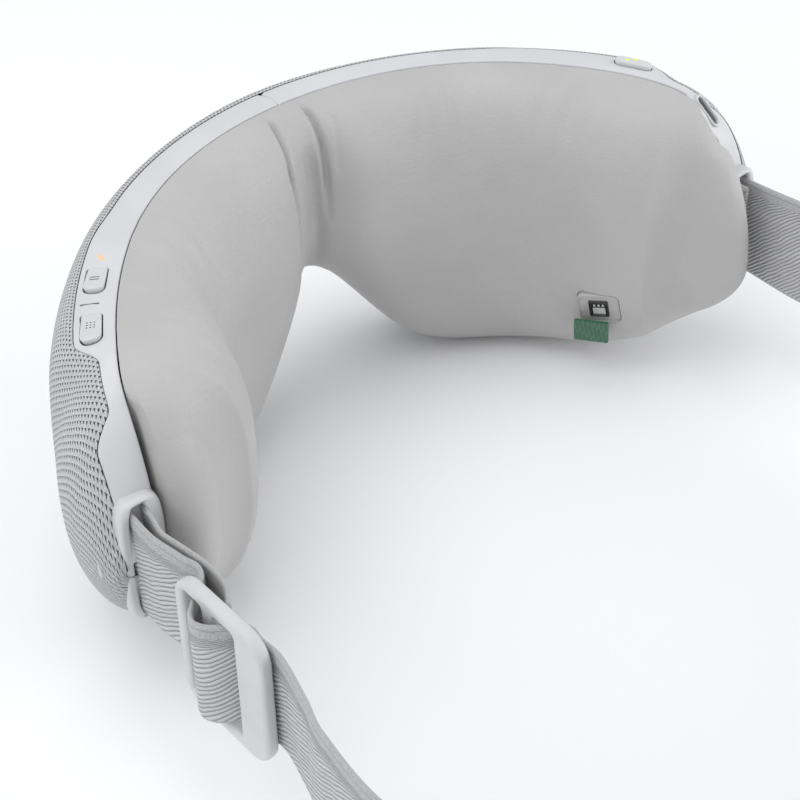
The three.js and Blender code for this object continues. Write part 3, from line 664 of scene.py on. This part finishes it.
def make_pads():
    tip = HALF_LENGTH - 0.0005
    u = stations(-tip, tip, 1.1)
    u = np.unique(np.concatenate([u, np.arange(-16, 16, 0.5)]))
    t = 0.5 - 0.5 * np.cos(np.linspace(0, math.pi, 76))
    t = 0.35 * t + 0.65 * np.linspace(0, 1, 76)
    uu, tt = np.meshgrid(u, t, indexing="ij")
    base = pad_point(uu, tt)
    du = np.gradient(base, axis=0)
    dt = np.gradient(base, axis=1)
    normal = np.cross(du, dt)
    normal /= np.maximum(np.linalg.norm(normal, axis=-1, keepdims=True), 1e-9)
    inward = place(uu, -60.0, 0.0) - place(uu, 0.0, 0.0)
    normal *= np.where(np.sum(normal * inward, axis=-1, keepdims=True) < 0, -1.0, 1.0)
    settled = 1.0 - smoothstep(np.abs(uu), 112, 126)
    base = base + normal * (pad_relief(uu, tt) * settled)[..., None]
    for tip_row in (0, -1):
        base[tip_row] = (base[tip_row] + base[tip_row][::-1]) / 2.0
    skin = tube("pad_skin", base, LEATHER)
    join_tips(skin)
    return skin


pads = make_pads()

# ---------------------------------------------------------------------------------------------
# Knitted cover over the outside of the casing
# ---------------------------------------------------------------------------------------------
def make_knit():
    u = stations(-END_U + 0.01, END_U - 0.01, 1.6)
    count = 56
    rows = []
    flow = []
    for at in u:
        depth = float(casing_depth(at))
        width = float(band_width(at)) - 0.15
        crown = float(crown_power(at))
        first = math.asin(min(0.999, width / depth) ** (crown / 2))
        turn = first + (math.pi - first) * np.linspace(0, 1, count) ** 1.15
        below = 3.2 - 1.1 * float(share(at))
        power = np.where(turn < math.pi / 2, 2.0 / crown, 2.0 / below)
        h = depth * np.maximum(np.sin(turn), 0.0) ** power
        high = float(top_edge(at))
        low = float(bottom_edge(at))
        mid = (high + low) / 2
        z = mid + (high - mid) * signed_power(np.cos(turn), power)
        proud = 0.3
        h = h + proud * np.sin(turn)
        z = z + proud * np.cos(turn) * smoothstep(turn, first, first + 0.12)
        h = np.append(h, PARTING)
        z = np.append(z, low - proud)
        points = place(np.full(len(h), at), h, z)
        steps = np.linalg.norm(np.diff(points, axis=0), axis=1)
        arc = width + np.concatenate([[0.0], np.cumsum(steps)])
        rows.append(points)
        flow.append(np.stack([np.full(len(h), at), arc, np.zeros(len(h))], axis=-1))
    flow = np.array(flow).reshape(-1, 3)
    return sheet_piece("knit_cover", rows, KNIT, flow)


knit = make_knit()

# ---------------------------------------------------------------------------------------------
# Frame band, one half each side of the seam at the nose bridge
# ---------------------------------------------------------------------------------------------
QUARTER_TURN = np.linspace(0.0, math.pi / 2, 6)


def band_profile(u):
    """(h, lift) round the band's section at u: rounded rims, and walls that go down inside."""
    inner = PARTING - float(socket_bulge(u))
    outer = float(band_width(u))
    radius = 0.55
    points = [(inner, -3.4)]
    for angle in QUARTER_TURN:
        points.append((inner + radius * (1 - math.cos(angle)), -radius * (1 - math.sin(angle))))
    for part in np.linspace(0.08, 0.92, 12):
        points.append((inner + radius + (outer - inner - 2 * radius) * part, 0.0))
    for angle in QUARTER_TURN[::-1]:
        points.append((outer - radius * (1 - math.cos(angle)), -radius * (1 - math.sin(angle))))
    points.append((outer, -1.7))
    points.append((outer - 2.0, -2.4))
    points.append((inner + 2.0, -3.4))
    return np.array(points)


def make_band(side):
    start = 0.12
    u = stations(start, END_U - 0.03, 1.0)
    u = np.unique(np.concatenate([u, np.arange(110, 131, 0.5)]))
    rings = []
    for at in u:
        profile = band_profile(at if side > 0 else -at)
        nose = 0.5 * (1 - min(1.0, (at - start) / 0.6)) ** 2
        bow = 0.9 * math.exp(-at / 3.0) * np.sin((profile[:, 0] + 1) / 8.5 * math.pi)
        where = side * at + bow
        rings.append(on_casing(where, profile[:, 0], profile[:, 1] - nose))
    return tube("frame_right" if side > 0 else "frame_left", rings, SATIN)


def band_cutter(name, u, outline, depth=-6.0):
    def surface(x, y, lift):
        return on_casing(u + x, BUTTON_H + y, lift)

    rings = [surface(outline[:, 0], outline[:, 1], np.full(len(outline), lift)) for lift in (depth, 5.0)]
    return tube(name, rings, ENGRAVING_SHADE)


def frame_at(u, h, lift=0.0):
    """A flat local frame on the casing: along the edge, outwards and up."""
    origin = on_casing(u, h, lift)
    ahead = on_casing(u + 0.3, h, lift) - on_casing(u - 0.3, h, lift)
    ahead = ahead / np.linalg.norm(ahead)
    out = on_casing(u, h + 0.3, lift) - on_casing(u, h - 0.3, lift)
    up = np.cross(out, ahead)
    up = up / np.linalg.norm(up) * (1 if up[2] > 0 else -1)
    out = np.cross(up, ahead)
    return origin, ahead, out, up


def flat_surface(basis):
    origin, ahead, out, up = basis

    def surface(x, y, lift):
        return origin + np.outer(x, ahead) + np.outer(y, out) + np.outer(lift, up)

    return surface


left_band = make_band(-1)
right_band = make_band(1)

BUTTON_LENGTH = 8.8
BUTTON_WIDTH = 4.9
tongue = rounded_outline(BUTTON_LENGTH, BUTTON_WIDTH, 0.5, rear_corner=2.1)
tongue_hole = rounded_outline(BUTTON_LENGTH + 0.6, BUTTON_WIDTH + 0.7, 0.6, rear_corner=2.4)
tongue_hole[:, 0] += 0.1


def tongue_rise(x):
    return 0.02 + 1.35 * smoothstep(x, -BUTTON_LENGTH / 2 - 0.5, BUTTON_LENGTH / 2 + 1.0)


def make_tongue(name, u):
    """A key that lies flush at its forward end and rises to a rounded rear edge."""
    side = -1 if u < 0 else 1

    def surface(x, y, lift):
        top = tongue_rise(x) + lift
        return on_casing(u + side * x, BUTTON_H + y, np.where(lift < -1.5, lift, top))

    outline = tongue.copy()
    outline[:, 0] = np.where(outline[:, 0] < 0, outline[:, 0] - 0.5, outline[:, 0])
    return plate(name, outline, surface, -3.6, 0.0, SATIN, fillet=0.45, segments=5)


def key_mark(name, u, x, y, length, width, turn=0.0):
    """A small engraved mark, drawn as a thin dark plate painted with the shade inside the engraving, that
    follows the key's top.
    """
    side = -1 if u < 0 else 1
    outline = rounded_outline(length, width, min(length, width) * 0.45, count=4)
    c, s = math.cos(turn), math.sin(turn)
    across, up = outline[:, 0], outline[:, 1]
    outline = np.stack([across * c - up * s, across * s + up * c], axis=-1)

    def surface(px, py, lift):
        return on_casing(u + side * (x + px), BUTTON_H + y + py, tongue_rise(x + px) + lift)

    return plate(name, outline, surface, -0.2, 0.025, ENGRAVING_SHADE, fillet=0.02, segments=1)


def reversed_outline(outline, side):
    flipped = outline.copy()
    flipped[:, 0] *= side
    return flipped


carve(
    left_band,
    band_cutter("pause_hole", PAUSE_U, reversed_outline(tongue_hole, -1)),
    band_cutter("pattern_hole", PATTERN_U, reversed_outline(tongue_hole, -1)),
)
pause_key = make_tongue("pause_key", PAUSE_U)
pattern_key = make_tongue("pattern_key", PATTERN_U)
pause_marks = [
    key_mark(f"pause_mark_{k}", PAUSE_U, offset, 0.1, 0.42, 2.3)
    for k, offset in enumerate((-0.75, 0.35))
]
pattern_marks = [
    key_mark(f"pattern_mark_{i}{j}", PATTERN_U, (i - 1) * 0.95 - 0.6, (j - 1) * 0.85, 0.42, 0.42)
    for i in range(3)
    for j in range(3)
]

# The divider groove is a thin dark plate painted with the groove's shade.
DIVIDER_U = (PAUSE_U + PATTERN_U) / 2
divider_outline = rounded_outline(0.55, 4.6, 0.25, count=4)


def divider_surface(x, y, lift):
    return on_casing(DIVIDER_U + x, BUTTON_H + 0.6 + y, lift)


divider = plate("divider_line", divider_outline, divider_surface, -0.3, 0.03, ENGRAVING_SHADE, fillet=0.03, segments=1)

# Power key: a raised pill with its two lights let into the top
pill = rounded_outline(10.0, 3.6, 1.75)
pill_hole = rounded_outline(10.7, 4.3, 2.1)
carve(right_band, band_cutter("power_hole", POWER_U, pill_hole))


def pill_surface(x, y, lift):
    return on_casing(POWER_U + x, BUTTON_H + y, lift)


power_key = plate("power_key", pill, pill_surface, -3.6, 1.5, SATIN, fillet=0.8, segments=6)
LIGHT_SPOT = rounded_outline(1.3, 0.9, 0.44, count=8)


def spot(name, u, h, lift, material):
    def surface(x, y, up):
        return on_casing(u + x, h + y, lift + up)

    return plate(name, LIGHT_SPOT, surface, -0.3, 0.04, material, fillet=0.04, segments=2)


power_spots = [
    spot("power_spot_0", POWER_U - 1.7, BUTTON_H - 0.5, 1.5, GREEN),
    spot("power_spot_1", POWER_U + 0.3, BUTTON_H + 0.6, 1.5, GREEN),
]
orange_spots = [
    spot("pause_spot_0", LIGHT_U + 0.5, BUTTON_H + 0.5, 0.0, ORANGE),
    spot("pause_spot_1", LIGHT_U - 0.5, BUTTON_H - 0.5, 0.0, ORANGE),
]

# Charging socket: a stadium recess in the bulge of the right band
socket_basis = frame_at(SOCKET_U, SOCKET_H)
socket_surface = flat_surface(socket_basis)
recess = rounded_outline(9.6, 3.2, 1.55)
recess_cutter = tube(
    "recess",
    [socket_surface(recess[:, 0], recess[:, 1], np.full(len(recess), lift)) for lift in (-4.6, 3.0)],
    SATIN,
)
carve(right_band, recess_cutter)


def ring_plate(name, outer, inner, surface, low, high, material, fillet=0.25):
    """A flat ring with rounded rims, such as a bezel."""
    def level(outline, lift):
        return surface(outline[:, 0], outline[:, 1], np.full(len(outline), lift))

    grown = inner + (outer - inner) * 0.25
    shrunk = inner + (outer - inner) * 0.75
    rings = [
        level(outer, low), level(outer, high - fillet), level(shrunk, high),
        level(grown, high), level(inner, high - fillet), level(inner, low),
    ]
    rows, columns = len(rings), len(outer)
    faces = grid_faces(rows, columns, closed_rows=True, closed_columns=True)
    return new_piece(name, np.array(rings).reshape(-1, 3), faces, material)


socket_rim = ring_plate(
    "socket_rim", rounded_outline(10.6, 4.2, 2.05), rounded_outline(9.0, 2.7, 1.3),
    socket_surface, -1.2, 0.12, SATIN,
)
socket_floor = plate(
    "socket_floor", rounded_outline(9.4, 3.0, 1.45), socket_surface, -4.4, -2.6, INNER_PLASTIC, fillet=0.2,
)
socket_blade = plate(
    "socket_blade", rounded_outline(6.4, 0.9, 0.3), socket_surface, -2.7, -1.2, DARK_PLASTIC, fillet=0.15,
)

# ---------------------------------------------------------------------------------------------
# Strap slots: a rounded collar at each temple end
# ---------------------------------------------------------------------------------------------
def superellipse(centre_h, centre_z, half_h, half_z, power, count=72):
    angle = np.linspace(0, 2 * math.pi, count, endpoint=False)
    h = centre_h + half_h * signed_power(np.cos(angle), 2 / power)
    z = centre_z + half_z * signed_power(np.sin(angle), 2 / power)
    return h, z


def make_collar(side):
    outer = superellipse(centre_h=3.9, centre_z=STRAP_Z, half_h=6.2, half_z=18.0, power=4.5)
    inner = superellipse(centre_h=4.6, centre_z=STRAP_Z, half_h=2.75, half_z=16.7, power=4.0)
    section = [(outer, 127.5, 0.0)]
    for angle in QUARTER_TURN:
        section.append((outer, 136.6 + 1.3 * math.sin(angle), 1.1 * (1 - math.cos(angle))))
    for angle in QUARTER_TURN[::-1]:
        section.append((inner, 137.2 + 0.7 * math.sin(angle), -0.7 * (1 - math.cos(angle))))
    section.append((inner, 129.2, 0.0))
    rings = []
    for (h, z), u, inset in section:
        centre_h = (h.max() + h.min()) / 2
        away_h = h - centre_h
        away_z = z - STRAP_Z
        h = centre_h + away_h * (1 - inset / np.abs(away_h).max())
        z = STRAP_Z + away_z * (1 - inset / np.abs(away_z).max())
        rings.append(place(np.full(len(h), side * u), h, z))
    rings = np.array(rings)
    faces = grid_faces(len(rings), rings.shape[1], closed_rows=True, closed_columns=True)
    return new_piece(
        "slot_collar_right" if side > 0 else "slot_collar_left", rings.reshape(-1, 3), faces, SATIN
    )


left_collar = make_collar(-1)
right_collar = make_collar(1)

# ---------------------------------------------------------------------------------------------
# Pulse sensor, low on the right pad
# ---------------------------------------------------------------------------------------------
def sensor_frame():
    at = pad_point(SENSOR_U, SENSOR_TURN)
    up = pad_point(SENSOR_U, SENSOR_TURN - 0.02) - pad_point(SENSOR_U, SENSOR_TURN + 0.02)
    up = up / np.linalg.norm(up)
    heading = float(plan(SENSOR_U)[2])
    along = np.array([math.cos(heading), -math.sin(heading), 0.0])
    tilted = along * math.cos(SENSOR_TILT) + up * math.sin(SENSOR_TILT)
    up = up * math.cos(SENSOR_TILT) - along * math.sin(SENSOR_TILT)
    along = tilted
    face = -np.cross(along, up)
    face = face / np.linalg.norm(face)
    if face[1] > 0:
        face = -face
    return at, along, up, face


sensor_surface = flat_surface(sensor_frame())
sensor_room = rounded_outline(12.4, 10.8, 2.2)

def sensor_ring(lift):
    return sensor_surface(sensor_room[:, 0], sensor_room[:, 1], np.full(len(sensor_room), lift))


sensor_cutter = tube("sensor_room", [sensor_ring(lift) for lift in (-4.0, 6.0)], ENGRAVING_SHADE)
carve(pads, sensor_cutter)
sensor_bezel = ring_plate(
    "sensor_bezel", rounded_outline(12.0, 10.4, 2.0), rounded_outline(11.1, 9.5, 1.6),
    sensor_surface, -2.6, 0.22, LEATHER,
)
sensor_base = plate(
    "sensor_base", rounded_outline(11.4, 9.8, 1.7), sensor_surface, -2.4, -0.1, LEATHER, fillet=0.2,
)


def moved(outline, x, y):
    return outline + np.array([x, y])


def sensor_plate(name, length, width, corner, x, y, low, high, material):
    outline = rounded_outline(length, width, corner, count=4)

    def surface(px, py, lift):
        return sensor_surface(px + x, py + y, lift)

    return plate(name, outline, surface, low, high, material, fillet=0.06, segments=2)


sensor_window = ring_plate(
    "sensor_window_rim", rounded_outline(5.7, 6.2, 0.6), rounded_outline(4.5, 5.0, 0.3),
    sensor_surface, -0.5, 0.25, DARK_PLASTIC, fillet=0.1,
)
sensor_glass = sensor_plate("sensor_glass", 4.9, 5.4, 0.3, 0, 0, -0.4, 0.02, DARK_PLASTIC)
sensor_patch = sensor_plate("sensor_patch", 3.6, 2.5, 0.3, 0, -0.9, -0.2, 0.09, PALE_WINDOW)


def make_triangle(index):
    x = (index - 1) * 1.25
    corners = np.array([(x - 0.45, 0.9), (x + 0.45, 0.9), (x, 1.9)])
    rings = [
        sensor_surface(corners[:, 0], corners[:, 1], np.full(3, lift)) for lift in (-0.1, 0.1)
    ]
    return tube(f"sensor_light_{index}", rings, PALE_WINDOW)


sensor_lights = [make_triangle(index) for index in range(3)]

# ---------------------------------------------------------------------------------------------
# Slider: a rounded plate with two windows and soft edges
# ---------------------------------------------------------------------------------------------
slider_low, slider_high = [np.array(corner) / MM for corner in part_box("slider")]
SLIDER_X = (slider_low[0] + slider_high[0]) / 2
SLIDER_FRONT = slider_high[1]
SLIDER_LENGTH = slider_high[1] - slider_low[1]
SLIDER_HEIGHT = slider_high[2] - slider_low[2]
SLIDER_Z = (slider_low[2] + slider_high[2]) / 2
SLIDER_THICK = slider_high[0] - slider_low[0]
FRONT_BAR = 3.0
WINDOW = 7.4
MIDDLE_BAR = 4.0
WINDOW_HEIGHT = 32.0


def outline_spline(curve, points):
    spline = curve.splines.new("POLY")
    spline.points.add(len(points) - 1)
    for point, (x, y) in zip(spline.points, points):
        point.co = (x * MM, y * MM, 0.0, 1.0)
    spline.use_cyclic_u = True


def make_slider():
    soft = 1.15
    curve = bpy.data.curves.new("slider_outline", "CURVE")
    curve.dimensions = "2D"
    curve.fill_mode = "BOTH"
    curve.extrude = (SLIDER_THICK / 2 - soft) * MM
    curve.bevel_depth = soft * MM
    curve.bevel_resolution = 4
    outline = rounded_outline(SLIDER_LENGTH - 2 * soft, SLIDER_HEIGHT - 2 * soft, 5.6, count=12)
    outline_spline(curve, outline)
    for start in (FRONT_BAR, FRONT_BAR + WINDOW + MIDDLE_BAR):
        centre = start + WINDOW / 2 - SLIDER_LENGTH / 2
        hole = rounded_outline(WINDOW + 2 * soft - 0.6, WINDOW_HEIGHT + 2 * soft - 0.8, 2.2, count=8)
        outline_spline(curve, moved(hole, centre, 0.0))
    holder = bpy.data.objects.new("slider_outline", curve)
    bpy.context.scene.collection.objects.link(holder)
    depsgraph = bpy.context.evaluated_depsgraph_get()
    depsgraph.update()
    mesh = bpy.data.meshes.new_from_object(holder.evaluated_get(depsgraph), depsgraph=depsgraph)
    bpy.data.objects.remove(holder)
    basis = Matrix(((0, 0, -1), (-1, 0, 0), (0, 1, 0))).to_4x4()
    basis.translation = Vector((SLIDER_X, SLIDER_FRONT - SLIDER_LENGTH / 2, SLIDER_Z)) * MM
    mesh.transform(basis)
    mesh.materials.clear()
    mesh.materials.append(SLIDER_PLASTIC)
    piece = bpy.data.objects.new("slider_frame", mesh)
    bpy.context.scene.collection.objects.link(piece)
    face_outwards(piece)
    mesh.shade_smooth()
    mesh.set_sharp_from_angle(angle=math.radians(50))
    return piece


slider_piece = make_slider()

# ---------------------------------------------------------------------------------------------
# Elastic strap
# ---------------------------------------------------------------------------------------------
BACK_OF_HEAD = [(112.5, -158), (114.5, -180), (109, -210), (82, -236), (42, -248), (0.15, -251)]


def turn_round_pin(side):
    x, y = place(side * PIN_U, PIN_H, 0.0)[:2]
    radius = PIN_RADIUS + GAP + STRAP_THICKNESS / 2
    around = []
    for part in (0, 0.25, 0.5, 0.75, 1):
        angle = math.pi * part
        around.append((x - side * radius * math.cos(angle), y + radius * math.sin(angle)))
    return [(x - side * radius, y - 1.5), *around, (x + side * radius, y - 1.5)]


def smooth_path(points, spacing=0.8):
    """Catmull-Rom through the points, resampled evenly."""
    points = np.array(points, float)
    padded = np.vstack([2 * points[0] - points[1], points, 2 * points[-1] - points[-2]])
    dense = []
    for k in range(1, len(padded) - 2):
        p0, p1, p2, p3 = padded[k - 1 : k + 3]
        for t in np.linspace(0, 1, 24, endpoint=False):
            a = 2 * p1 + (p2 - p0) * t
            b = (2 * p0 - 5 * p1 + 4 * p2 - p3) * t**2
            c = (3 * p1 - p0 - 3 * p2 + p3) * t**3
            dense.append((a + b + c) / 2)
    dense.append(points[-1])
    dense = np.array(dense)
    arc = np.concatenate([[0], np.cumsum(np.linalg.norm(np.diff(dense, axis=0), axis=1))])
    even = np.linspace(0, arc[-1], int(arc[-1] / spacing) + 1)
    return np.stack([np.interp(even, arc, dense[:, k]) for k in range(2)], axis=-1), even


def make_strap(name, points, material, lean=0.0):
    path, arc = smooth_path(points)
    ahead = np.gradient(path, axis=0)
    ahead /= np.linalg.norm(ahead, axis=1, keepdims=True)
    normal = np.stack([-ahead[:, 1], ahead[:, 0]], axis=-1)
    half = STRAP_WIDTH / 2
    across = np.linspace(-half, half, 31)
    section = [(v, 1) for v in across] + [(half, 0)] + [(v, -1) for v in across[::-1]] + [(-half, 0)]
    rings = []
    flow = []
    leaning = smoothstep(-path[:, 1], 80, 105) * (1 - smoothstep(-path[:, 1], 150, 220))
    for at, out, s, swing in zip(path, normal, arc, lean * leaning):
        ring = []
        for v, face in section:
            rim = min(1.0, (half - abs(v)) / 0.5)
            thick = STRAP_THICKNESS / 2 * (0.45 + 0.55 * math.sqrt(max(0.0, rim)))
            x, y = at + out * face * thick
            ring.append((x + swing * (0.5 - v / STRAP_WIDTH), y, STRAP_Z + v))
            flow.append((s, v, face))
        rings.append(ring)
    return tube(name, rings, material, flow)


INSIDE = SLIDER_X + 2.8
OUTSIDE = SLIDER_X - 4.0
LOOP_END = [
    (-105.6, -117), (-102.6, -112), (-101.4, -105), (-102.2, -97), (-103.2, -89), (-101.9, -83),
]
THREADED = [
    (-105.1, -80), (-105.6, -89), (-104.4, -98), (-103.9, -105), (OUTSIDE, -113.4),
    (OUTSIDE, -118.6), (INSIDE, -124.4), (INSIDE, -130), (INSIDE, -136.5), (-109.4, -148),
]
left_strap = make_strap(
    "strap_left_webbing",
    [*LOOP_END, *turn_round_pin(-1), *THREADED, *[(-x, y) for x, y in BACK_OF_HEAD]],
    WEBBING_LEFT,
)
right_strap = make_strap(
    "strap_right_webbing",
    [
        (101.3, -83.5), (101.2, -81), (101.2, -79.5), *turn_round_pin(1),
        (105, -80), (105.4, -88), (107, -104), (109, -130), *BACK_OF_HEAD,
    ],
    WEBBING_RIGHT,
    RIGHT_LEAN,
)

# ---------------------------------------------------------------------------------------------
# What each piece rides on and what it stands for
# ---------------------------------------------------------------------------------------------
def hang(piece, body, slot, *nodes):
    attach(piece, body)
    if nodes:
        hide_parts(*nodes)


hang(left_band, "left_half", "satin_plastic", "left_frame")
hang(right_band, "right_half", "satin_plastic", "right_frame")
hang(left_collar, "left_half", "satin_plastic")
hang(right_collar, "right_half", "satin_plastic")
hang(divider, "left_half", "satin_plastic")
hang(pause_key, "pause_button", "satin_plastic", "pause_button")
hang(pattern_key, "pattern_button", "satin_plastic", "pattern_button")
hang(power_key, "power_button", "satin_plastic", "power_button", "power_light")
for mark in pause_marks:
    hang(mark, "pause_button", "dark_plastic")
for mark in pattern_marks:
    hang(mark, "pattern_button", "dark_plastic")
for light in power_spots:
    hang(light, "power_button", "green_light")
for light in orange_spots:
    hang(light, "left_half", "orange_light")
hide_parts("indicator_light")
hang(socket_rim, "right_half", "satin_plastic")
hang(socket_floor, "right_half", "inner_plastic", "charge_socket")
hang(socket_blade, "right_half", "dark_plastic", "socket_tongue")
hang(sensor_bezel, "right_half", "leather", "sensor_rim")
hang(sensor_base, "right_half", "leather")
hang(sensor_window, "right_half", "dark_plastic", "sensor_window")
hang(sensor_glass, "right_half", "dark_plastic")
hang(sensor_patch, "right_half", "satin_plastic")
for light in sensor_lights:
    hang(light, "right_half", "satin_plastic")
hang(slider_piece, "slider", "slider_plastic", "slider")

for piece, slot_name, nodes in (
    (pads, "leather", ("left_pad", "right_pad", "pad_bridge")),
    (knit, "knit", ("left_knit", "right_knit", "knit_bridge")),
):
    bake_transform(piece)
    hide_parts(*nodes)

cable_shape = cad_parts["bridge_cable"]
flat_cable = bpy.data.objects.new("flat_cable", cable_shape.data.copy())
flat_cable.data.transform(cable_shape.matrix_world)
flat_cable.data.materials.clear()
flat_cable.data.materials.append(HEATER)
bpy.context.scene.collection.objects.link(flat_cable)
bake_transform(flat_cable)
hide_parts("bridge_cable")
for strap, node in ((left_strap, "strap_left"), (right_strap, "strap_right")):
    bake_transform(strap)
    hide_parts(node)

# Inner parts keep their CAD shape and get their real finish
FINISHES = {
    "shell": INNER_PLASTIC, "tray": INNER_PLASTIC, "heater": HEATER, "screw": STEEL, "hinge": STEEL,
    "motor": STEEL, "weight": STEEL, "pin": STEEL, "board": CIRCUIT, "battery": CELL, "cable": HEATER,
}
for name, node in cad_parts.items():
    for word, finish in FINISHES.items():
        if word in name and not node.hide_render:
            node.data.materials.clear()
            node.data.materials.append(finish)
            break

# ---------------------------------------------------------------------------------------------
# Floor, light and camera
# ---------------------------------------------------------------------------------------------
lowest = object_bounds()[0][2]
floor_paint = Paint("floor", (0.9, 0.9, 0.905), 0.7)
floor_cloud = floor_paint.noise(3.0, 2.0)
floor_paint.colour(floor_paint.mix(floor_cloud, (0.9, 0.902, 0.906), (0.91, 0.912, 0.918)))
floor_mesh = bpy.data.meshes.new("floor")
reach = 6.0
floor_mesh.from_pydata(
    [(-reach, -reach, 0), (reach, -reach, 0), (reach, reach, 0), (-reach, reach, 0)], [], [(0, 1, 2, 3)]
)
floor = bpy.data.objects.new("floor", floor_mesh)
floor.location = (0, 0, lowest - 0.0005)
floor_mesh.materials.append(floor_paint.material)
bpy.context.scene.collection.objects.link(floor)


def area_light(name, location, target, size, energy, colour=(1, 1, 1)):
    data = bpy.data.lights.new(name, "AREA")
    data.shape = "DISK"
    data.size = size
    data.energy = energy
    data.color = colour
    light = bpy.data.objects.new(name, data)
    light.location = location
    light.rotation_mode = "QUATERNION"
    away = Vector(location) - Vector(target)
    light.rotation_quaternion = away.to_track_quat("Z", "Y")
    bpy.context.scene.collection.objects.link(light)


centre = (0.0, -0.1, 0.0)
area_light("overhead", (-0.25, 0.15, 1.1), centre, 1.2, 6.2)
area_light("from_left", (-1.1, -0.2, 0.55), centre, 0.9, 2.5)
area_light("from_right", (0.9, -0.75, 0.25), centre, 0.9, 6.0)

world = bpy.data.worlds.new("studio")
world.use_nodes = True
world.node_tree.nodes["Background"].inputs["Color"].default_value = (0.96, 0.975, 1.0, 1.0)
world.node_tree.nodes["Background"].inputs["Strength"].default_value = 0.68
bpy.context.scene.world = world
bpy.context.scene.view_settings.view_transform = "Standard"

AZIMUTH = math.radians(-39.145)
ELEVATION = math.radians(35.879)
ROLL = math.radians(-1.839)
DISTANCE = 0.4959
TARGET = Vector((0.0, -0.04, 0.0))
back = Vector((
    math.sin(AZIMUTH) * math.cos(ELEVATION),
    -math.cos(AZIMUTH) * math.cos(ELEVATION),
    math.sin(ELEVATION),
))
level = Vector((math.cos(AZIMUTH), math.sin(AZIMUTH), 0.0))
upright = back.cross(level)
right = level * math.cos(ROLL) + upright * math.sin(ROLL)
up = upright * math.cos(ROLL) - level * math.sin(ROLL)
lens = bpy.data.cameras.new("camera")
lens.sensor_width = 36.0
lens.lens = 81.8
lens.shift_x = 0.031
lens.shift_y = -0.123
lens.clip_start = 0.02
lens.clip_end = 20.0
camera = bpy.data.objects.new("camera", lens)
pose = Matrix((right, up, back)).transposed().to_4x4()
pose.translation = TARGET + back * DISTANCE
camera.matrix_world = pose
bpy.context.scene.collection.objects.link(camera)
bpy.context.scene.camera = camera
